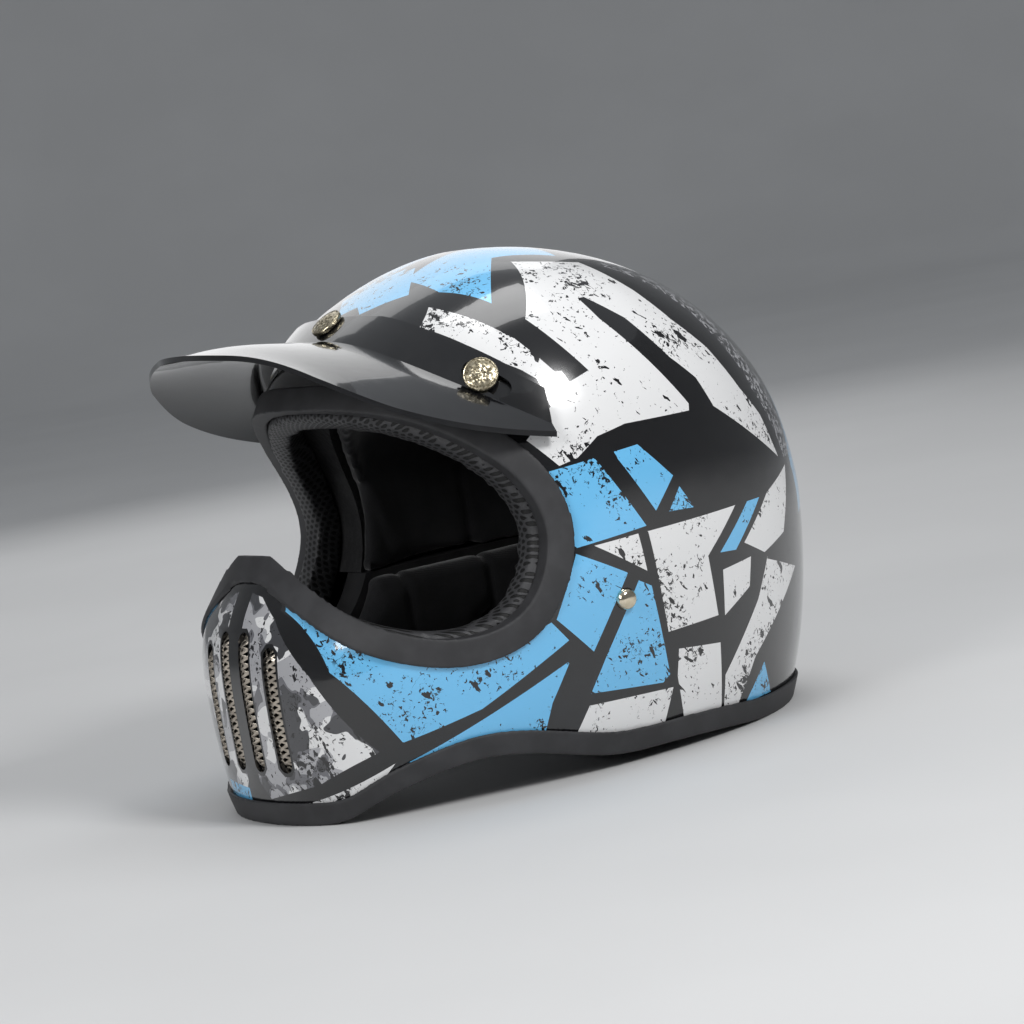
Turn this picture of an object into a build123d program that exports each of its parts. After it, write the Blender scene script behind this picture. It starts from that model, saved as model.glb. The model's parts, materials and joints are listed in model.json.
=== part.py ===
from build123d import *
import os
from math import cos, radians, sin, sqrt

# A full-face helmet with a long chin bar and a press-stud peak.
# Frame: +Z up, the face looks towards -Y, the wearer's left is +X. The helmet rests on its base trim at
# z = 0, at the chin and at the nape, and x = y = 0 is the middle of its whole length and width.
# All sizes are in millimetres.

# ---- overall size of the outer shell ----
shell_half_width = 124.0
shell_chin_reach = 152.0
shell_rear_reach = 168.5
shell_height = 251.5
crown_y = 8.0
widest_y = 12.0
shell_wall = 4.0

# cross-sections from below the neck to just under the crown: level as a share of the height, then half
# width, reach to the front and reach to the rear as shares of theirs, then how full the front corner is
shell_sections = [
    (-0.100, 0.742, 0.945, 0.827, 0.69),
    (0.020, 0.802, 0.980, 0.900, 0.69),
    (0.120, 0.871, 0.997, 0.950, 0.69),
    (0.220, 0.923, 1.000, 0.980, 0.68),
    (0.310, 0.960, 0.994, 0.995, 0.65),
    (0.380, 0.984, 0.965, 1.000, 0.59),
    (0.440, 0.996, 0.908, 1.000, 0.52),
    (0.510, 1.000, 0.846, 0.985, 0.50),
    (0.600, 0.992, 0.788, 0.950, 0.52),
    (0.700, 0.952, 0.702, 0.877, 0.53),
    (0.800, 0.859, 0.594, 0.760, 0.56),
    (0.880, 0.734, 0.462, 0.615, 0.58),
    (0.940, 0.573, 0.289, 0.450, 0.57),
    (0.978, 0.371, 0.132, 0.287, 0.56),
    (0.996, 0.177, 0.007, 0.141, 0.55),
]
rear_fullness = 0.585
widest_level = 0.437

# ---- eyeport: its rim seen from the side, as (y, z), from the chin bar's lip back and up to the brow ----
eyeport_rim = [
    (-131.0, 124.0),
    (-130.0, 109.0),
    (-124.5, 95.0),
    (-108.0, 82.5),
    (-81.0, 76.5),
    (-56.5, 83.5),
    (-41.0, 103.0),
    (-36.5, 119.0),
    (-41.5, 142.0),
    (-58.0, 165.5),
    (-76.0, 182.0),
    (-97.0, 192.5),
]
eyeport_middle = (-100.0, 130.0)

# ---- lower edge of the shell seen from the side, as (y, z) above the resting plane ----
base_edge = [
    (-142.0, 3.0),
    (-127.0, 10.0),
    (-105.0, 20.0),
    (-82.0, 24.0),
    (-59.0, 21.5),
    (-34.0, 15.0),
    (-10.0, 9.5),
    (20.0, 8.0),
    (69.0, 5.0),
    (98.0, 3.0),
]

# ---- rubber trims ----
trim_skin = 2.2
trim_over_edge = 3.0
eyeport_trim_cover = 10.5
base_trim_cover = 8.5
fit_gap = 0.3

# ---- chin vents ----
slot_width = 8.5
slot_bottom = 26.0
slot_tops = {9.0: 93.0, 29.0: 86.0}
mesh_thickness = 1.0
mesh_margin = 5.0
chin_divider = 4.0

# ---- liners ----
head_half_width = 78.0
head_half_length = 98.0
head_y = 22.0
head_level = 140.0
head_rise = 63.0
liner_thickness = 9.7
lining_depth = 20.0
lining_bulge = 6.0
lining_reach = 13.5
eps_bottom = 96.0
nape_y = 84.0
nape_bottom = 45.0
chin_eps_depth = 22.0
chin_eps_bottom = 14.0
chin_eps_rear = -92.0
neck_roll_depth = 22.0
neck_roll_front = 58.0
neck_roll_bottom = 8.0
neck_roll_top = 31.0

# ---- peak: heights are given as drops below the crown ----
peak_gap = 1.2
peak_thickness = 2.6
peak_tip_y = -149.5
peak_tip_drop = 25.0
peak_root_drop = 32.5
peak_tip_edge_drop = 32.0
ear_y = -26.0
ear_drop = 88.0
ear_overhang = 2.5
peak_corner_half_width = 82.0
peak_corner_y = -127.0
band_top = [(-72.0, 17.0), (-60.0, 23.0), (-52.0, 38.0), (-38.0, 54.0), (-25.0, 66.0)]
ear_foot_y = -28.5
ear_foot_drop = 92.0

# ---- press studs, each a small dome in a wide socket so that the peak pulls straight off ----
centre_stud_drop = 27.5
side_stud_y = -46.0
side_stud_drop = 57.5
cap_radius = 8.4
cap_height = 3.4
cap_rim = 1.4
cap_gap = 0.15
socket_outer = 4.4
socket_inner = 3.6
socket_floor = 0.9
stud_dome_radius = 2.0
stud_flange_radius = 4.0
stud_flange = 0.7
stud_shank_radius = 1.6
ear_slot_length = 26.0
ear_slot_shift = -3.0
ear_slot_clearance = 0.4
stud_nut_radius = 5.0
stud_nut_thickness = 1.6
stud_nut_gap = 0.8

# ---- chin strap ----
rivet_y = -4.0
rivet_z = 81.0
rivet_head_radius = 5.2
rivet_head_height = 3.8
rivet_shank_radius = 2.5
rivet_seat_depth = 1.1
rivet_tail_radius = 5.5
rivet_tail_thickness = 2.0
running_gap = 0.05
spacer_radius = 6.0
spacer_thickness = 3.4
spacer_stand_off = 1.6
plate_thickness = 2.0
plate_width = 20.0
plate_top_radius = 11.0
plate_bend_z = 69.0
plate_foot_z = 46.0
strap_width = 22.0
strap_thickness = 2.2
strap_bottom_z = 32.0
strap_corner_radius = 14.0
strap_shell_clearance = 9.0
strap_lap = 12.0
strap_pad_length = 74.0
strap_pad_x = -22.0
strap_pad_width = 32.0
strap_pad_thickness = 5.0
swing_forward = 30.0
swing_rearward = 35.0
swing_margin = 24.0

# ---- buckle on the chin strap ----
buckle_inner_x = 30.0
buckle_length = 44.0
buckle_width = 27.0
buckle_wall = 2.0
buckle_floor = 1.6
buckle_depth = 10.0
tongue_width = 18.0
tongue_thickness = 1.8
tongue_length = 72.0
tongue_lap = 14.0
tooth_pitch = 3.0
tooth_depth = 0.7
tooth_count = 8
lever_pin_radius = 1.5
lever_pin_inset = 8.0
lever_pin_drop = 6.4
lever_length = 40.0
lever_thickness = 2.2
lever_boss_radius = 3.0
lever_side_gap = 0.3
pawl_length = 5.0
spring_clearance = 0.2
spring_radius = 2.4

# ---- cheek pads ----
pad_inner_x = 60.0
pad_cover = 12.0
pad_strap_clearance = 3.0
pad_front_y = -62.0
pad_rear_y = 80.0
pad_bottom_z = 33.0
pad_corner = 10.0
pad_travel = 25.0
base_plate_front_y = 62.0
base_plate_bottom_z = 42.0
base_plate_thickness = 3.0
base_plate_rib = 4.0
snap_radius = 2.5
snap_height = 1.4
snap_spacing = 26.0

# ---- values worked out from those above ----
crown = Vector(0, crown_y, shell_height)
side_clear = shell_half_width + 40.0
front_clear = -(shell_chin_reach + 60.0)
rear_clear = shell_rear_reach + 60.0
floor_clear = -60.0
slot_top_z = max(slot_tops.values())
slot_outer_x = max(slot_tops)


def corner(start, end, fullness):
    """Control points of a rounded corner from start, where it runs along X, to end, along Y."""
    first = (start[0] + (end[0] - start[0]) * fullness, start[1])
    second = (end[0], end[1] + (start[1] - end[1]) * fullness)
    return [start, first, second, end]


def shell_form(inset):
    """The solid inside the shell's outer surface moved inwards by inset."""
    sections = []
    widest_z = widest_level * shell_height
    for level, width, front, rear, fullness in shell_sections:
        height = level * shell_height
        lift = max(0.0, (height - widest_z) / (shell_height - widest_z))
        spread = inset * sqrt(1.0 - lift**2)
        side = (width * shell_half_width - spread, widest_y)
        face = (0, -front * shell_chin_reach + spread)
        nape = (0, rear * shell_rear_reach - spread)
        with BuildSketch(Plane.XY.offset(height - inset * lift)) as outline:
            with BuildLine():
                Bezier(*corner(face, side, fullness))
                Bezier(*corner(nape, side, rear_fullness))
                mirror(about=Plane.YZ)
            make_face()
        sections.append(outline.sketch.face())
    with BuildPart() as form:
        loft(sections=[*sections, Vertex(0, crown_y, shell_height - inset)])
    return form.part


def head_form(grow):
    """The head-shaped space, grown by grow all round and open downwards."""
    sections = []
    for turn in (None, 0.0, 22.0, 42.0, 60.0, 75.0, 84.0):
        tilt = radians(turn or 0.0)
        height = floor_clear if turn is None else head_level + (head_rise + grow) * sin(tilt)
        with BuildSketch(Plane(origin=(0, head_y, height))) as ring:
            Ellipse((head_half_width + grow) * cos(tilt), (head_half_length + grow) * cos(tilt))
        sections.append(ring.sketch.face())
    with BuildPart() as lower:
        loft(sections=sections[:2])
    with BuildPart() as head:
        add(lower.part)
        loft(sections=[*sections[1:], Vertex(0, head_y, head_level + head_rise + grow)])
    return head.part


def rim_outward(index):
    """The direction along the shell's surface, away from the eyeport, at a point of its rim."""
    y, z = eyeport_rim[index]
    if index in (0, len(eyeport_rim) - 1):
        hits = outer_form.find_intersection_points(Axis((0, widest_y, z), (0, -1, 0)))
        normal = min(hits, key=lambda hit: hit[0].Y)[1]
        along = Vector(1, 0, 0)
    else:
        hits = outer_form.find_intersection_points(Axis((0, y, z), (1, 0, 0)))
        normal = max(hits, key=lambda hit: hit[0].X)[1]
        before = surface_point(outer_form, *eyeport_rim[max(index - 1, 1)])
        after = surface_point(outer_form, *eyeport_rim[min(index + 1, len(eyeport_rim) - 2)])
        along = after - before
    outward = along.cross(normal).normalized()
    away = Vector(0, y - eyeport_middle[0], z - eyeport_middle[1])
    return outward if outward.dot(away) > 0 else -outward


def eyeport_block(grow):
    """The eyeport's opening as a block across the shell, its rim moved outwards by grow."""
    points = []
    for (y, z), outward in zip(eyeport_rim, rim_directions):
        points.append((y + grow * outward.Y, z + grow * outward.Z))
    with BuildPart() as block:
        with BuildSketch(Plane.YZ):
            with BuildLine():
                rim = Spline(*points)
                Polyline(rim @ 1, (front_clear, (rim @ 1).Y), (front_clear, (rim @ 0).Y), rim @ 0)
            make_face()
        extrude(amount=side_clear, both=True)
    return block.part


def base_block(lift):
    """Everything below the shell's lower edge, the edge moved up by lift."""
    with BuildPart() as block:
        with BuildSketch(Plane.YZ):
            with BuildLine():
                edge = Spline(*[(y, z + lift) for y, z in base_edge], tangents=[(1, 0), (1, 0)])
                Polyline(
                    edge @ 1,
                    (rear_clear, (edge @ 1).Y),
                    (rear_clear, floor_clear),
                    (front_clear, floor_clear),
                    (front_clear, (edge @ 0).Y),
                    edge @ 0,
                )
            make_face()
        extrude(amount=side_clear, both=True)
    return block.part


def side_prism(points, half_width=side_clear):
    """A block across the helmet whose side view is the closed outline of points, as (y, z)."""
    with BuildPart() as prism:
        with BuildSketch(Plane.YZ):
            with BuildLine():
                Polyline(*points, close=True)
            make_face()
        extrude(amount=half_width, both=True)
    return prism.part


def box_between(low, high):
    """A box from one corner to the other."""
    centre = (Vector(*low) + Vector(*high)) / 2
    size = Vector(*high) - Vector(*low)
    with BuildPart() as box:
        with Locations(centre):
            Box(size.X, size.Y, size.Z)
    return box.part


outer_form = shell_form(0)
inner_form = shell_form(shell_wall)


def surface_point(solid, y, z):
    """Where a line along X through (y, z) leaves the solid on the wearer's left."""
    hits = solid.find_intersection_points(Axis((0, y, z), (1, 0, 0)))
    return max((point for point, normal in hits), key=lambda point: point.X)


def surface_seat(start, direction):
    """A plane on the outer surface where a ray leaves it, with z pointing straight out."""
    hits = outer_form.find_intersection_points(Axis(start, direction))
    point, normal = max(hits, key=lambda hit: (hit[0] - Vector(*start)).dot(Vector(*direction)))
    outward = normal if normal.dot(Vector(*direction)) > 0 else -normal
    return point, outward


rim_directions = [rim_outward(index) for index in range(len(eyeport_rim))]

# the seats of the three press studs on the forehead
side_stud_z = shell_height - side_stud_drop
side_point, side_normal = surface_seat((0, side_stud_y, side_stud_z), (1, 0, 0))
centre_stud_z = shell_height - centre_stud_drop
centre_point, centre_normal = surface_seat((0, crown_y, centre_stud_z), (0, -1, 0))
band_course = Vector(-side_normal.X, -0.47, 0.62)
side_along = (band_course - side_normal * band_course.dot(side_normal)).normalized()
left_seat = Plane(origin=side_point, x_dir=side_along, z_dir=side_normal)
right_seat = Plane(
    origin=(-side_point.X, side_point.Y, side_point.Z),
    x_dir=(-side_along.X, side_along.Y, side_along.Z),
    z_dir=(-side_normal.X, side_normal.Y, side_normal.Z),
)
centre_seat = Plane(origin=centre_point, x_dir=(1, 0, 0), z_dir=centre_normal)
stud_seats = {"centre": centre_seat, "left": left_seat, "right": right_seat}

# the chin strap's rivets, one each side on one axis across the helmet
rivet_x = surface_point(outer_form, rivet_y, rivet_z).X
rivet_seat_x = rivet_x - rivet_seat_depth
spacer_outer_x = rivet_x - shell_wall - spacer_stand_off
spacer_inner_x = spacer_outer_x - spacer_thickness
plate_outer_x = spacer_inner_x - 2 * running_gap
plate_inner_x = plate_outer_x - plate_thickness
tail_outer_x = plate_inner_x - 2 * running_gap
tail_inner_x = tail_outer_x - rivet_tail_thickness
strap_low_x = surface_point(inner_form, rivet_y, strap_bottom_z).X - strap_shell_clearance
pad_outer_x = strap_low_x - strap_thickness - pad_strap_clearance

mesh_inset = shell_wall + fit_gap
trim_inset = shell_wall + trim_skin + fit_gap
strap_underside_z = strap_bottom_z - strap_thickness / 2
buckle_outer_x = buckle_inner_x + buckle_length
pin_x = buckle_outer_x - lever_pin_inset
pin_z = strap_underside_z - lever_pin_drop


def front_slots(reach_out, reach_in):
    """The four upright vent slots as one cutter, two each side of the middle."""
    with BuildPart() as slots:
        with BuildSketch(Plane.XZ.offset(-reach_in)):
            for slot_x, slot_top in slot_tops.items():
                for side in (1, -1):
                    with Locations((side * slot_x, (slot_bottom + slot_top) / 2)):
                        SlotOverall(slot_top - slot_bottom, slot_width, rotation=90)
        extrude(amount=reach_in - reach_out)
    return slots.part


def seat_rods(radius, low, high):
    """A rod at each press stud, from low to high above the shell's surface."""
    with BuildPart() as rods:
        for seat in stud_seats.values():
            with BuildSketch(seat.offset(low)):
                Circle(radius)
            extrude(amount=high - low)
    return rods.part


def cross_rod(radius, near_x, far_x):
    """A pair of discs on the rivet axis, one each side, between two distances from the middle."""
    with BuildPart() as rods:
        for side in (1, -1):
            with BuildSketch(Plane(origin=(side * near_x, rivet_y, rivet_z), z_dir=(side, 0, 0))):
                Circle(radius)
            extrude(amount=far_x - near_x)
    return rods.part


def turned(seat, points):
    """A solid turned about a seat's axis from its half profile, as (radius, height) points."""
    profile_plane = Plane(origin=seat.origin, x_dir=seat.x_dir, z_dir=-seat.y_dir)
    with BuildPart() as solid:
        with BuildSketch(profile_plane):
            with BuildLine():
                Polyline(*points, close=True)
            make_face()
        revolve(axis=Axis(seat.origin, seat.z_dir))
    return solid.part


# ---------------------------------------------------------------- outer shell
with BuildPart() as bare_shell:
    add(outer_form)
    add(eyeport_block(0), mode=Mode.SUBTRACT)
    add(base_block(0), mode=Mode.SUBTRACT)
    add(inner_form, mode=Mode.SUBTRACT)

with BuildPart() as outer_shell:
    add(bare_shell.part)
    add(front_slots(front_clear, chin_eps_rear), mode=Mode.SUBTRACT)
    add(seat_rods(stud_shank_radius + running_gap, -2 * shell_wall, shell_wall), mode=Mode.SUBTRACT)
    add(cross_rod(rivet_shank_radius + running_gap, spacer_outer_x, side_clear), mode=Mode.SUBTRACT)
    add(cross_rod(rivet_head_radius + running_gap, rivet_seat_x, side_clear), mode=Mode.SUBTRACT)
outer_shell.part.label = "outer_shell"


# ---------------------------------------------------------------- rubber trims
def edge_trim(wide_block, narrow_block):
    """A rubber channel over an edge of the shell, between two copies of the edge's cutting block."""
    with BuildPart() as channel:
        add(shell_form(-trim_skin))
        add(wide_block, mode=Mode.INTERSECT)
        add(narrow_block, mode=Mode.SUBTRACT)
        add(shell_form(shell_wall + trim_skin), mode=Mode.SUBTRACT)
        add(bare_shell.part, mode=Mode.SUBTRACT)
    return channel.part


with BuildPart() as eyeport_trim:
    add(edge_trim(eyeport_block(eyeport_trim_cover), eyeport_block(-trim_over_edge)))
eyeport_trim.part.label = "eyeport_trim"

with BuildPart() as base_trim:
    add(edge_trim(base_block(base_trim_cover), base_block(-trim_over_edge)))
base_trim.part.label = "base_trim"

# ---------------------------------------------------------------- chin vents
vent_meshes = {}
mesh_low = slot_bottom - mesh_margin
mesh_high = slot_top_z + mesh_margin
mesh_reach = slot_outer_x + slot_width / 2 + mesh_margin
for name, side in (("left", 1), ("right", -1)):
    near_x, far_x = sorted((side * chin_divider / 2, side * mesh_reach))
    with BuildPart() as vent_mesh:
        add(box_between((near_x, front_clear, mesh_low), (far_x, chin_eps_rear, mesh_high)))
        add(shell_form(mesh_inset), mode=Mode.INTERSECT)
        add(eyeport_block(eyeport_trim_cover + fit_gap), mode=Mode.SUBTRACT)
        add(shell_form(mesh_inset + mesh_thickness), mode=Mode.SUBTRACT)
    vent_mesh.part.label = "vent_mesh_" + name
    vent_meshes[name] = vent_mesh

# ---------------------------------------------------------------- liners
lining_block = eyeport_block(lining_reach + fit_gap)
chin_top_z = eyeport_rim[0][1] + trim_over_edge
eps_keep_out = side_prism(
    [
        (front_clear, floor_clear),
        (rear_clear, floor_clear),
        (rear_clear, nape_bottom),
        (nape_y, nape_bottom),
        (nape_y, eps_bottom),
        (chin_eps_rear, eps_bottom),
        (chin_eps_rear, chin_top_z),
        (front_clear, chin_top_z),
    ]
)

with BuildPart() as crown_eps:
    add(shell_form(mesh_inset))
    add(eps_keep_out, mode=Mode.SUBTRACT)
    add(lining_block, mode=Mode.SUBTRACT)
    add(head_form(liner_thickness + fit_gap), mode=Mode.SUBTRACT)
    add(seat_rods(stud_nut_radius + fit_gap, -3 * shell_wall, 0), mode=Mode.SUBTRACT)
crown_eps.part.label = "crown_eps"

with BuildPart() as comfort_liner:
    add(head_form(liner_thickness))
    add(eps_keep_out, mode=Mode.SUBTRACT)
    add(lining_block, mode=Mode.SUBTRACT)
    add(head_form(0), mode=Mode.SUBTRACT)
comfort_liner.part.label = "comfort_liner"

with BuildPart() as chin_eps:
    add(
        box_between(
            (-side_clear, front_clear, chin_eps_bottom), (side_clear, chin_eps_rear, shell_height)
        )
    )
    add(shell_form(mesh_inset + mesh_thickness + fit_gap), mode=Mode.INTERSECT)
    add(lining_block, mode=Mode.SUBTRACT)
    add(base_block(base_trim_cover + fit_gap), mode=Mode.SUBTRACT)
    add(shell_form(chin_eps_depth), mode=Mode.SUBTRACT)
    add(front_slots(front_clear, chin_eps_rear), mode=Mode.SUBTRACT)
chin_eps.part.label = "chin_eps"

with BuildPart() as eyeport_lining:
    add(shell_form(trim_inset))
    add(eyeport_block(lining_reach), mode=Mode.INTERSECT)
    add(eyeport_block(-lining_bulge), mode=Mode.SUBTRACT)
    add(shell_form(lining_depth), mode=Mode.SUBTRACT)
eyeport_lining.part.label = "eyeport_lining"

with BuildPart() as neck_roll:
    add(
        box_between(
            (-side_clear, neck_roll_front, neck_roll_bottom), (side_clear, rear_clear, neck_roll_top)
        )
    )
    add(shell_form(trim_inset), mode=Mode.INTERSECT)
    add(shell_form(neck_roll_depth), mode=Mode.SUBTRACT)
neck_roll.part.label = "neck_roll"

# ---------------------------------------------------------------- peak
root_z = shell_height - peak_root_drop
tip_z = shell_height - peak_tip_drop
tip_edge_z = shell_height - peak_tip_edge_drop
ear_z = shell_height - ear_drop
ear_x = surface_point(outer_form, ear_y, ear_z).X + peak_gap + peak_thickness + ear_overhang
brim_foot_z = ear_z - 40.0


def brim_arch(y, half_width, edge_z, middle_z, drop):
    """One upright section across the brim: an arch from edge to edge, closed below."""
    with BuildSketch(Plane(origin=(0, y, 0), x_dir=(1, 0, 0), z_dir=(0, -1, 0))) as arch:
        with BuildLine():
            top = ThreePointArc(
                (-half_width, edge_z - drop), (0, middle_z - drop), (half_width, edge_z - drop)
            )
            Polyline(top @ 1, (half_width, brim_foot_z), (-half_width, brim_foot_z), top @ 0)
        make_face()
    return arch.sketch.face()


# from behind the ear to ahead of the tip: y, half width, height of the side edge, height of the middle
brim_stations = [
    (-12.0, ear_x + 2.0, ear_z - 5.0, root_z - 1.5),
    (-54.0, ear_x - 3.0, ear_z + 8.0, root_z),
    (-80.0, ear_x - 8.5, ear_z + 16.5, root_z + 2.0),
    (-101.0, ear_x - 17.0, ear_z + 26.5, root_z + 5.0),
    (-126.0, ear_x - 38.0, ear_z + 45.0, root_z + 7.5),
    (peak_tip_y - 6.0, ear_x - 61.0, tip_edge_z, tip_z),
]


def brim_solid(drop):
    """Everything under the brim's upper surface moved down by drop."""
    with BuildPart() as brim:
        loft(sections=[brim_arch(*station, drop) for station in brim_stations])
    return brim.part


with BuildPart() as brim_plan:
    with BuildSketch(Plane.XY):
        with BuildLine():
            left_edge = Spline(
                (ear_x, 0.0),
                (ear_x - 3.0, -54.0),
                (ear_x - 13.0, -92.0),
                (ear_x - 23.0, -111.0),
                (peak_corner_half_width, peak_corner_y),
                (peak_corner_half_width / 2, (peak_corner_y + 2 * peak_tip_y) / 3),
                (0, peak_tip_y),
                tangents=[(0, -1), (-1, 0)],
            )
            mirror(about=Plane.YZ)
            Line(left_edge @ 0, (-(left_edge @ 0).X, (left_edge @ 0).Y))
        make_face()
    extrude(amount=2 * shell_height)

band_rows = [(y, shell_height - drop) for y, drop in band_top]
ear_foot = (ear_foot_y, shell_height - ear_foot_drop)
band_side = [(front_clear, band_rows[0][1]), *band_rows, ear_foot, (front_clear, ear_foot[1])]
brim_side = [
    (front_clear, shell_height),
    (band_rows[-1][0], shell_height),
    band_rows[-1],
    ear_foot,
    (ear_foot_y, brim_foot_z),
    (front_clear, brim_foot_z),
]

with BuildPart() as brim:
    add(brim_solid(0))
    add(brim_plan.part, mode=Mode.INTERSECT)
    add(side_prism(brim_side), mode=Mode.INTERSECT)
    add(brim_solid(peak_thickness), mode=Mode.SUBTRACT)
    add(shell_form(-peak_gap), mode=Mode.SUBTRACT)

with BuildPart() as band:
    add(shell_form(-peak_gap - peak_thickness))
    add(side_prism(band_side), mode=Mode.INTERSECT)
    add(brim_solid(peak_thickness), mode=Mode.SUBTRACT)
    add(shell_form(-peak_gap), mode=Mode.SUBTRACT)

with BuildPart() as peak:
    add(band.part)
    add(brim.part)
    for seat in (left_seat, right_seat):
        with BuildSketch(seat):
            with Locations((ear_slot_shift, 0)):
                SlotOverall(ear_slot_length, 2 * (socket_outer + ear_slot_clearance))
        extrude(amount=2 * cap_radius, mode=Mode.SUBTRACT)
    with BuildSketch(centre_seat):
        Circle(socket_outer + ear_slot_clearance)
    extrude(amount=2 * cap_radius, mode=Mode.SUBTRACT)
peak.part.label = "peak"

# ---------------------------------------------------------------- press studs and their caps
cap_base = peak_gap + peak_thickness + cap_gap
studs = {}
caps = {}
for name, seat in stud_seats.items():
    with BuildPart() as stud:
        add(
            turned(
                seat,
                [
                    (0, -shell_wall - stud_nut_gap - stud_nut_thickness),
                    (stud_nut_radius, -shell_wall - stud_nut_gap - stud_nut_thickness),
                    (stud_nut_radius, -shell_wall - stud_nut_gap),
                    (stud_shank_radius, -shell_wall - stud_nut_gap),
                    (stud_shank_radius, fit_gap / 2),
                    (stud_flange_radius, fit_gap / 2),
                    (stud_flange_radius, stud_flange),
                    (0, stud_flange),
                ],
            )
        )
        with Locations(seat.offset(stud_flange).location):
            Sphere(
                stud_dome_radius, arc_size1=0, align=(Align.CENTER, Align.CENTER, Align.MIN)
            )
    stud.part.label = "peak_stud_" + name
    studs[name] = stud
    with BuildPart() as cap:
        profile_plane = Plane(origin=seat.origin, x_dir=seat.x_dir, z_dir=-seat.y_dir)
        with BuildSketch(profile_plane):
            with BuildLine():
                Polyline(
                    (0, cap_base + cap_height),
                    (0, cap_base),
                    (socket_inner, cap_base),
                    (socket_inner, socket_floor),
                    (socket_outer, socket_floor),
                    (socket_outer, cap_base),
                    (cap_radius, cap_base),
                    (cap_radius, cap_base + cap_rim),
                )
                Spline(
                    (cap_radius, cap_base + cap_rim),
                    (0, cap_base + cap_height),
                    tangents=[(-0.4, 1), (-1, 0)],
                )
            make_face()
        revolve(axis=Axis(seat.origin, seat.z_dir))
    cap.part.label = "peak_cap_" + name
    caps[name] = cap

# ---------------------------------------------------------------- chin strap and its anchors
sides = {"left": 1, "right": -1}
strap_rivets = {}
anchor_plates = {}
for name, side in sides.items():
    rivet_plane = Plane(origin=(side * rivet_seat_x, rivet_y, rivet_z), z_dir=(side, 0, 0))
    head_base = 2 * running_gap
    tail_start = tail_outer_x - rivet_seat_x
    tail_end = tail_inner_x - rivet_seat_x
    with BuildPart() as rivet:
        profile_plane = Plane(
            origin=rivet_plane.origin, x_dir=rivet_plane.x_dir, z_dir=-rivet_plane.y_dir
        )
        with BuildSketch(profile_plane):
            with BuildLine():
                Polyline(
                    (0, rivet_seat_depth + rivet_head_height),
                    (0, tail_end),
                    (rivet_tail_radius, tail_end),
                    (rivet_tail_radius, tail_start),
                    (rivet_shank_radius, tail_start),
                    (rivet_shank_radius, head_base),
                    (rivet_head_radius, head_base),
                    (rivet_head_radius, rivet_seat_depth),
                )
                Spline(
                    (rivet_head_radius, rivet_seat_depth),
                    (0, rivet_seat_depth + rivet_head_height),
                    tangents=[(0, 1), (-1, 0)],
                )
            make_face()
        revolve(axis=Axis(rivet_plane.origin, rivet_plane.z_dir))
    rivet.part.label = "strap_rivet_" + name
    strap_rivets[name] = rivet

with BuildPart() as anchor_spacers:
    add(cross_rod(spacer_radius, spacer_inner_x, spacer_outer_x))
    add(cross_rod(rivet_shank_radius + running_gap, spacer_inner_x, spacer_outer_x), mode=Mode.SUBTRACT)
anchor_spacers.part.label = "anchor_spacers"

# the strap and its plates run down a slanted line on each side, from the plate's bend to the corner
slant = (Vector(strap_low_x, strap_bottom_z) - Vector(plate_inner_x, plate_bend_z)).normalized()
inward = Vector(slant.Y, -slant.X)
bend_point = Vector(plate_inner_x, plate_bend_z)


def down_slant(z, depth):
    """A point on the slanted line at the height z, moved towards the middle by depth."""
    along = (z - plate_bend_z) / slant.Y
    return bend_point + slant * along + inward * depth


for name, side in sides.items():
    foot = down_slant(plate_foot_z, 0)
    outer_bend = Vector(plate_outer_x, plate_bend_z)
    outer_foot = down_slant(plate_foot_z, -plate_thickness)
    top_z = rivet_z + plate_top_radius
    with BuildPart() as anchor_plate:
        with BuildSketch(Plane.XZ):
            with BuildLine():
                Polyline(
                    (side * plate_outer_x, top_z),
                    (side * plate_inner_x, top_z),
                    (side * bend_point.X, bend_point.Y),
                    (side * foot.X, foot.Y),
                    (side * outer_foot.X, outer_foot.Y),
                    (side * outer_bend.X, outer_bend.Y),
                    close=True,
                )
            make_face()
        extrude(amount=plate_width / 2, both=True)
        fillet(anchor_plate.edges().filter_by(Axis.X).group_by(Axis.Z)[-1], plate_width / 3)
    with BuildPart() as moved_plate:
        with Locations((0, rivet_y, 0)):
            add(anchor_plate.part)
        add(cross_rod(rivet_shank_radius + running_gap, 0, side_clear), mode=Mode.SUBTRACT)
    moved_plate.part.label = "anchor_plate_" + name
    anchor_plates[name] = moved_plate

strap_ends = {"left": buckle_outer_x + running_gap, "right": strap_pad_x + strap_pad_length / 2}
straps = {}
for name, side in sides.items():
    start = down_slant(plate_foot_z + strap_lap, strap_thickness / 2 + 2 * running_gap)
    turn = down_slant(strap_bottom_z, strap_thickness / 2 + 2 * running_gap)
    end_x = strap_ends[name] if side > 0 else -strap_ends[name]
    with BuildPart() as strap:
        with BuildSketch(Plane.XZ.offset(-rivet_y)):
            with BuildLine():
                FilletPolyline(
                    (side * start.X, start.Y),
                    (side * turn.X, strap_bottom_z),
                    (side * end_x, strap_bottom_z),
                    radius=strap_corner_radius,
                )
            trace(line_width=strap_thickness)
        extrude(amount=strap_width / 2, both=True)
    strap.part.label = "strap_" + name
    straps[name] = strap

with BuildPart() as strap_pad:
    pad_middle = (strap_pad_x, rivet_y, strap_bottom_z + strap_thickness / 2 + running_gap)
    with Locations(pad_middle):
        Box(
            strap_pad_length,
            strap_pad_width,
            strap_pad_thickness,
            align=(Align.CENTER, Align.CENTER, Align.MIN),
        )
    fillet(strap_pad.edges().filter_by(Axis.Z), strap_pad_thickness)
    fillet(strap_pad.edges().group_by(Axis.Z)[-1], strap_pad_thickness / 3)
strap_pad.part.label = "strap_pad"

# ---------------------------------------------------------------- buckle
buckle_top_z = strap_underside_z + buckle_floor + running_gap
tongue_top_z = strap_underside_z - running_gap
tongue_low_z = tongue_top_z - tongue_thickness
inner_half = buckle_width / 2 - buckle_wall

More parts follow.
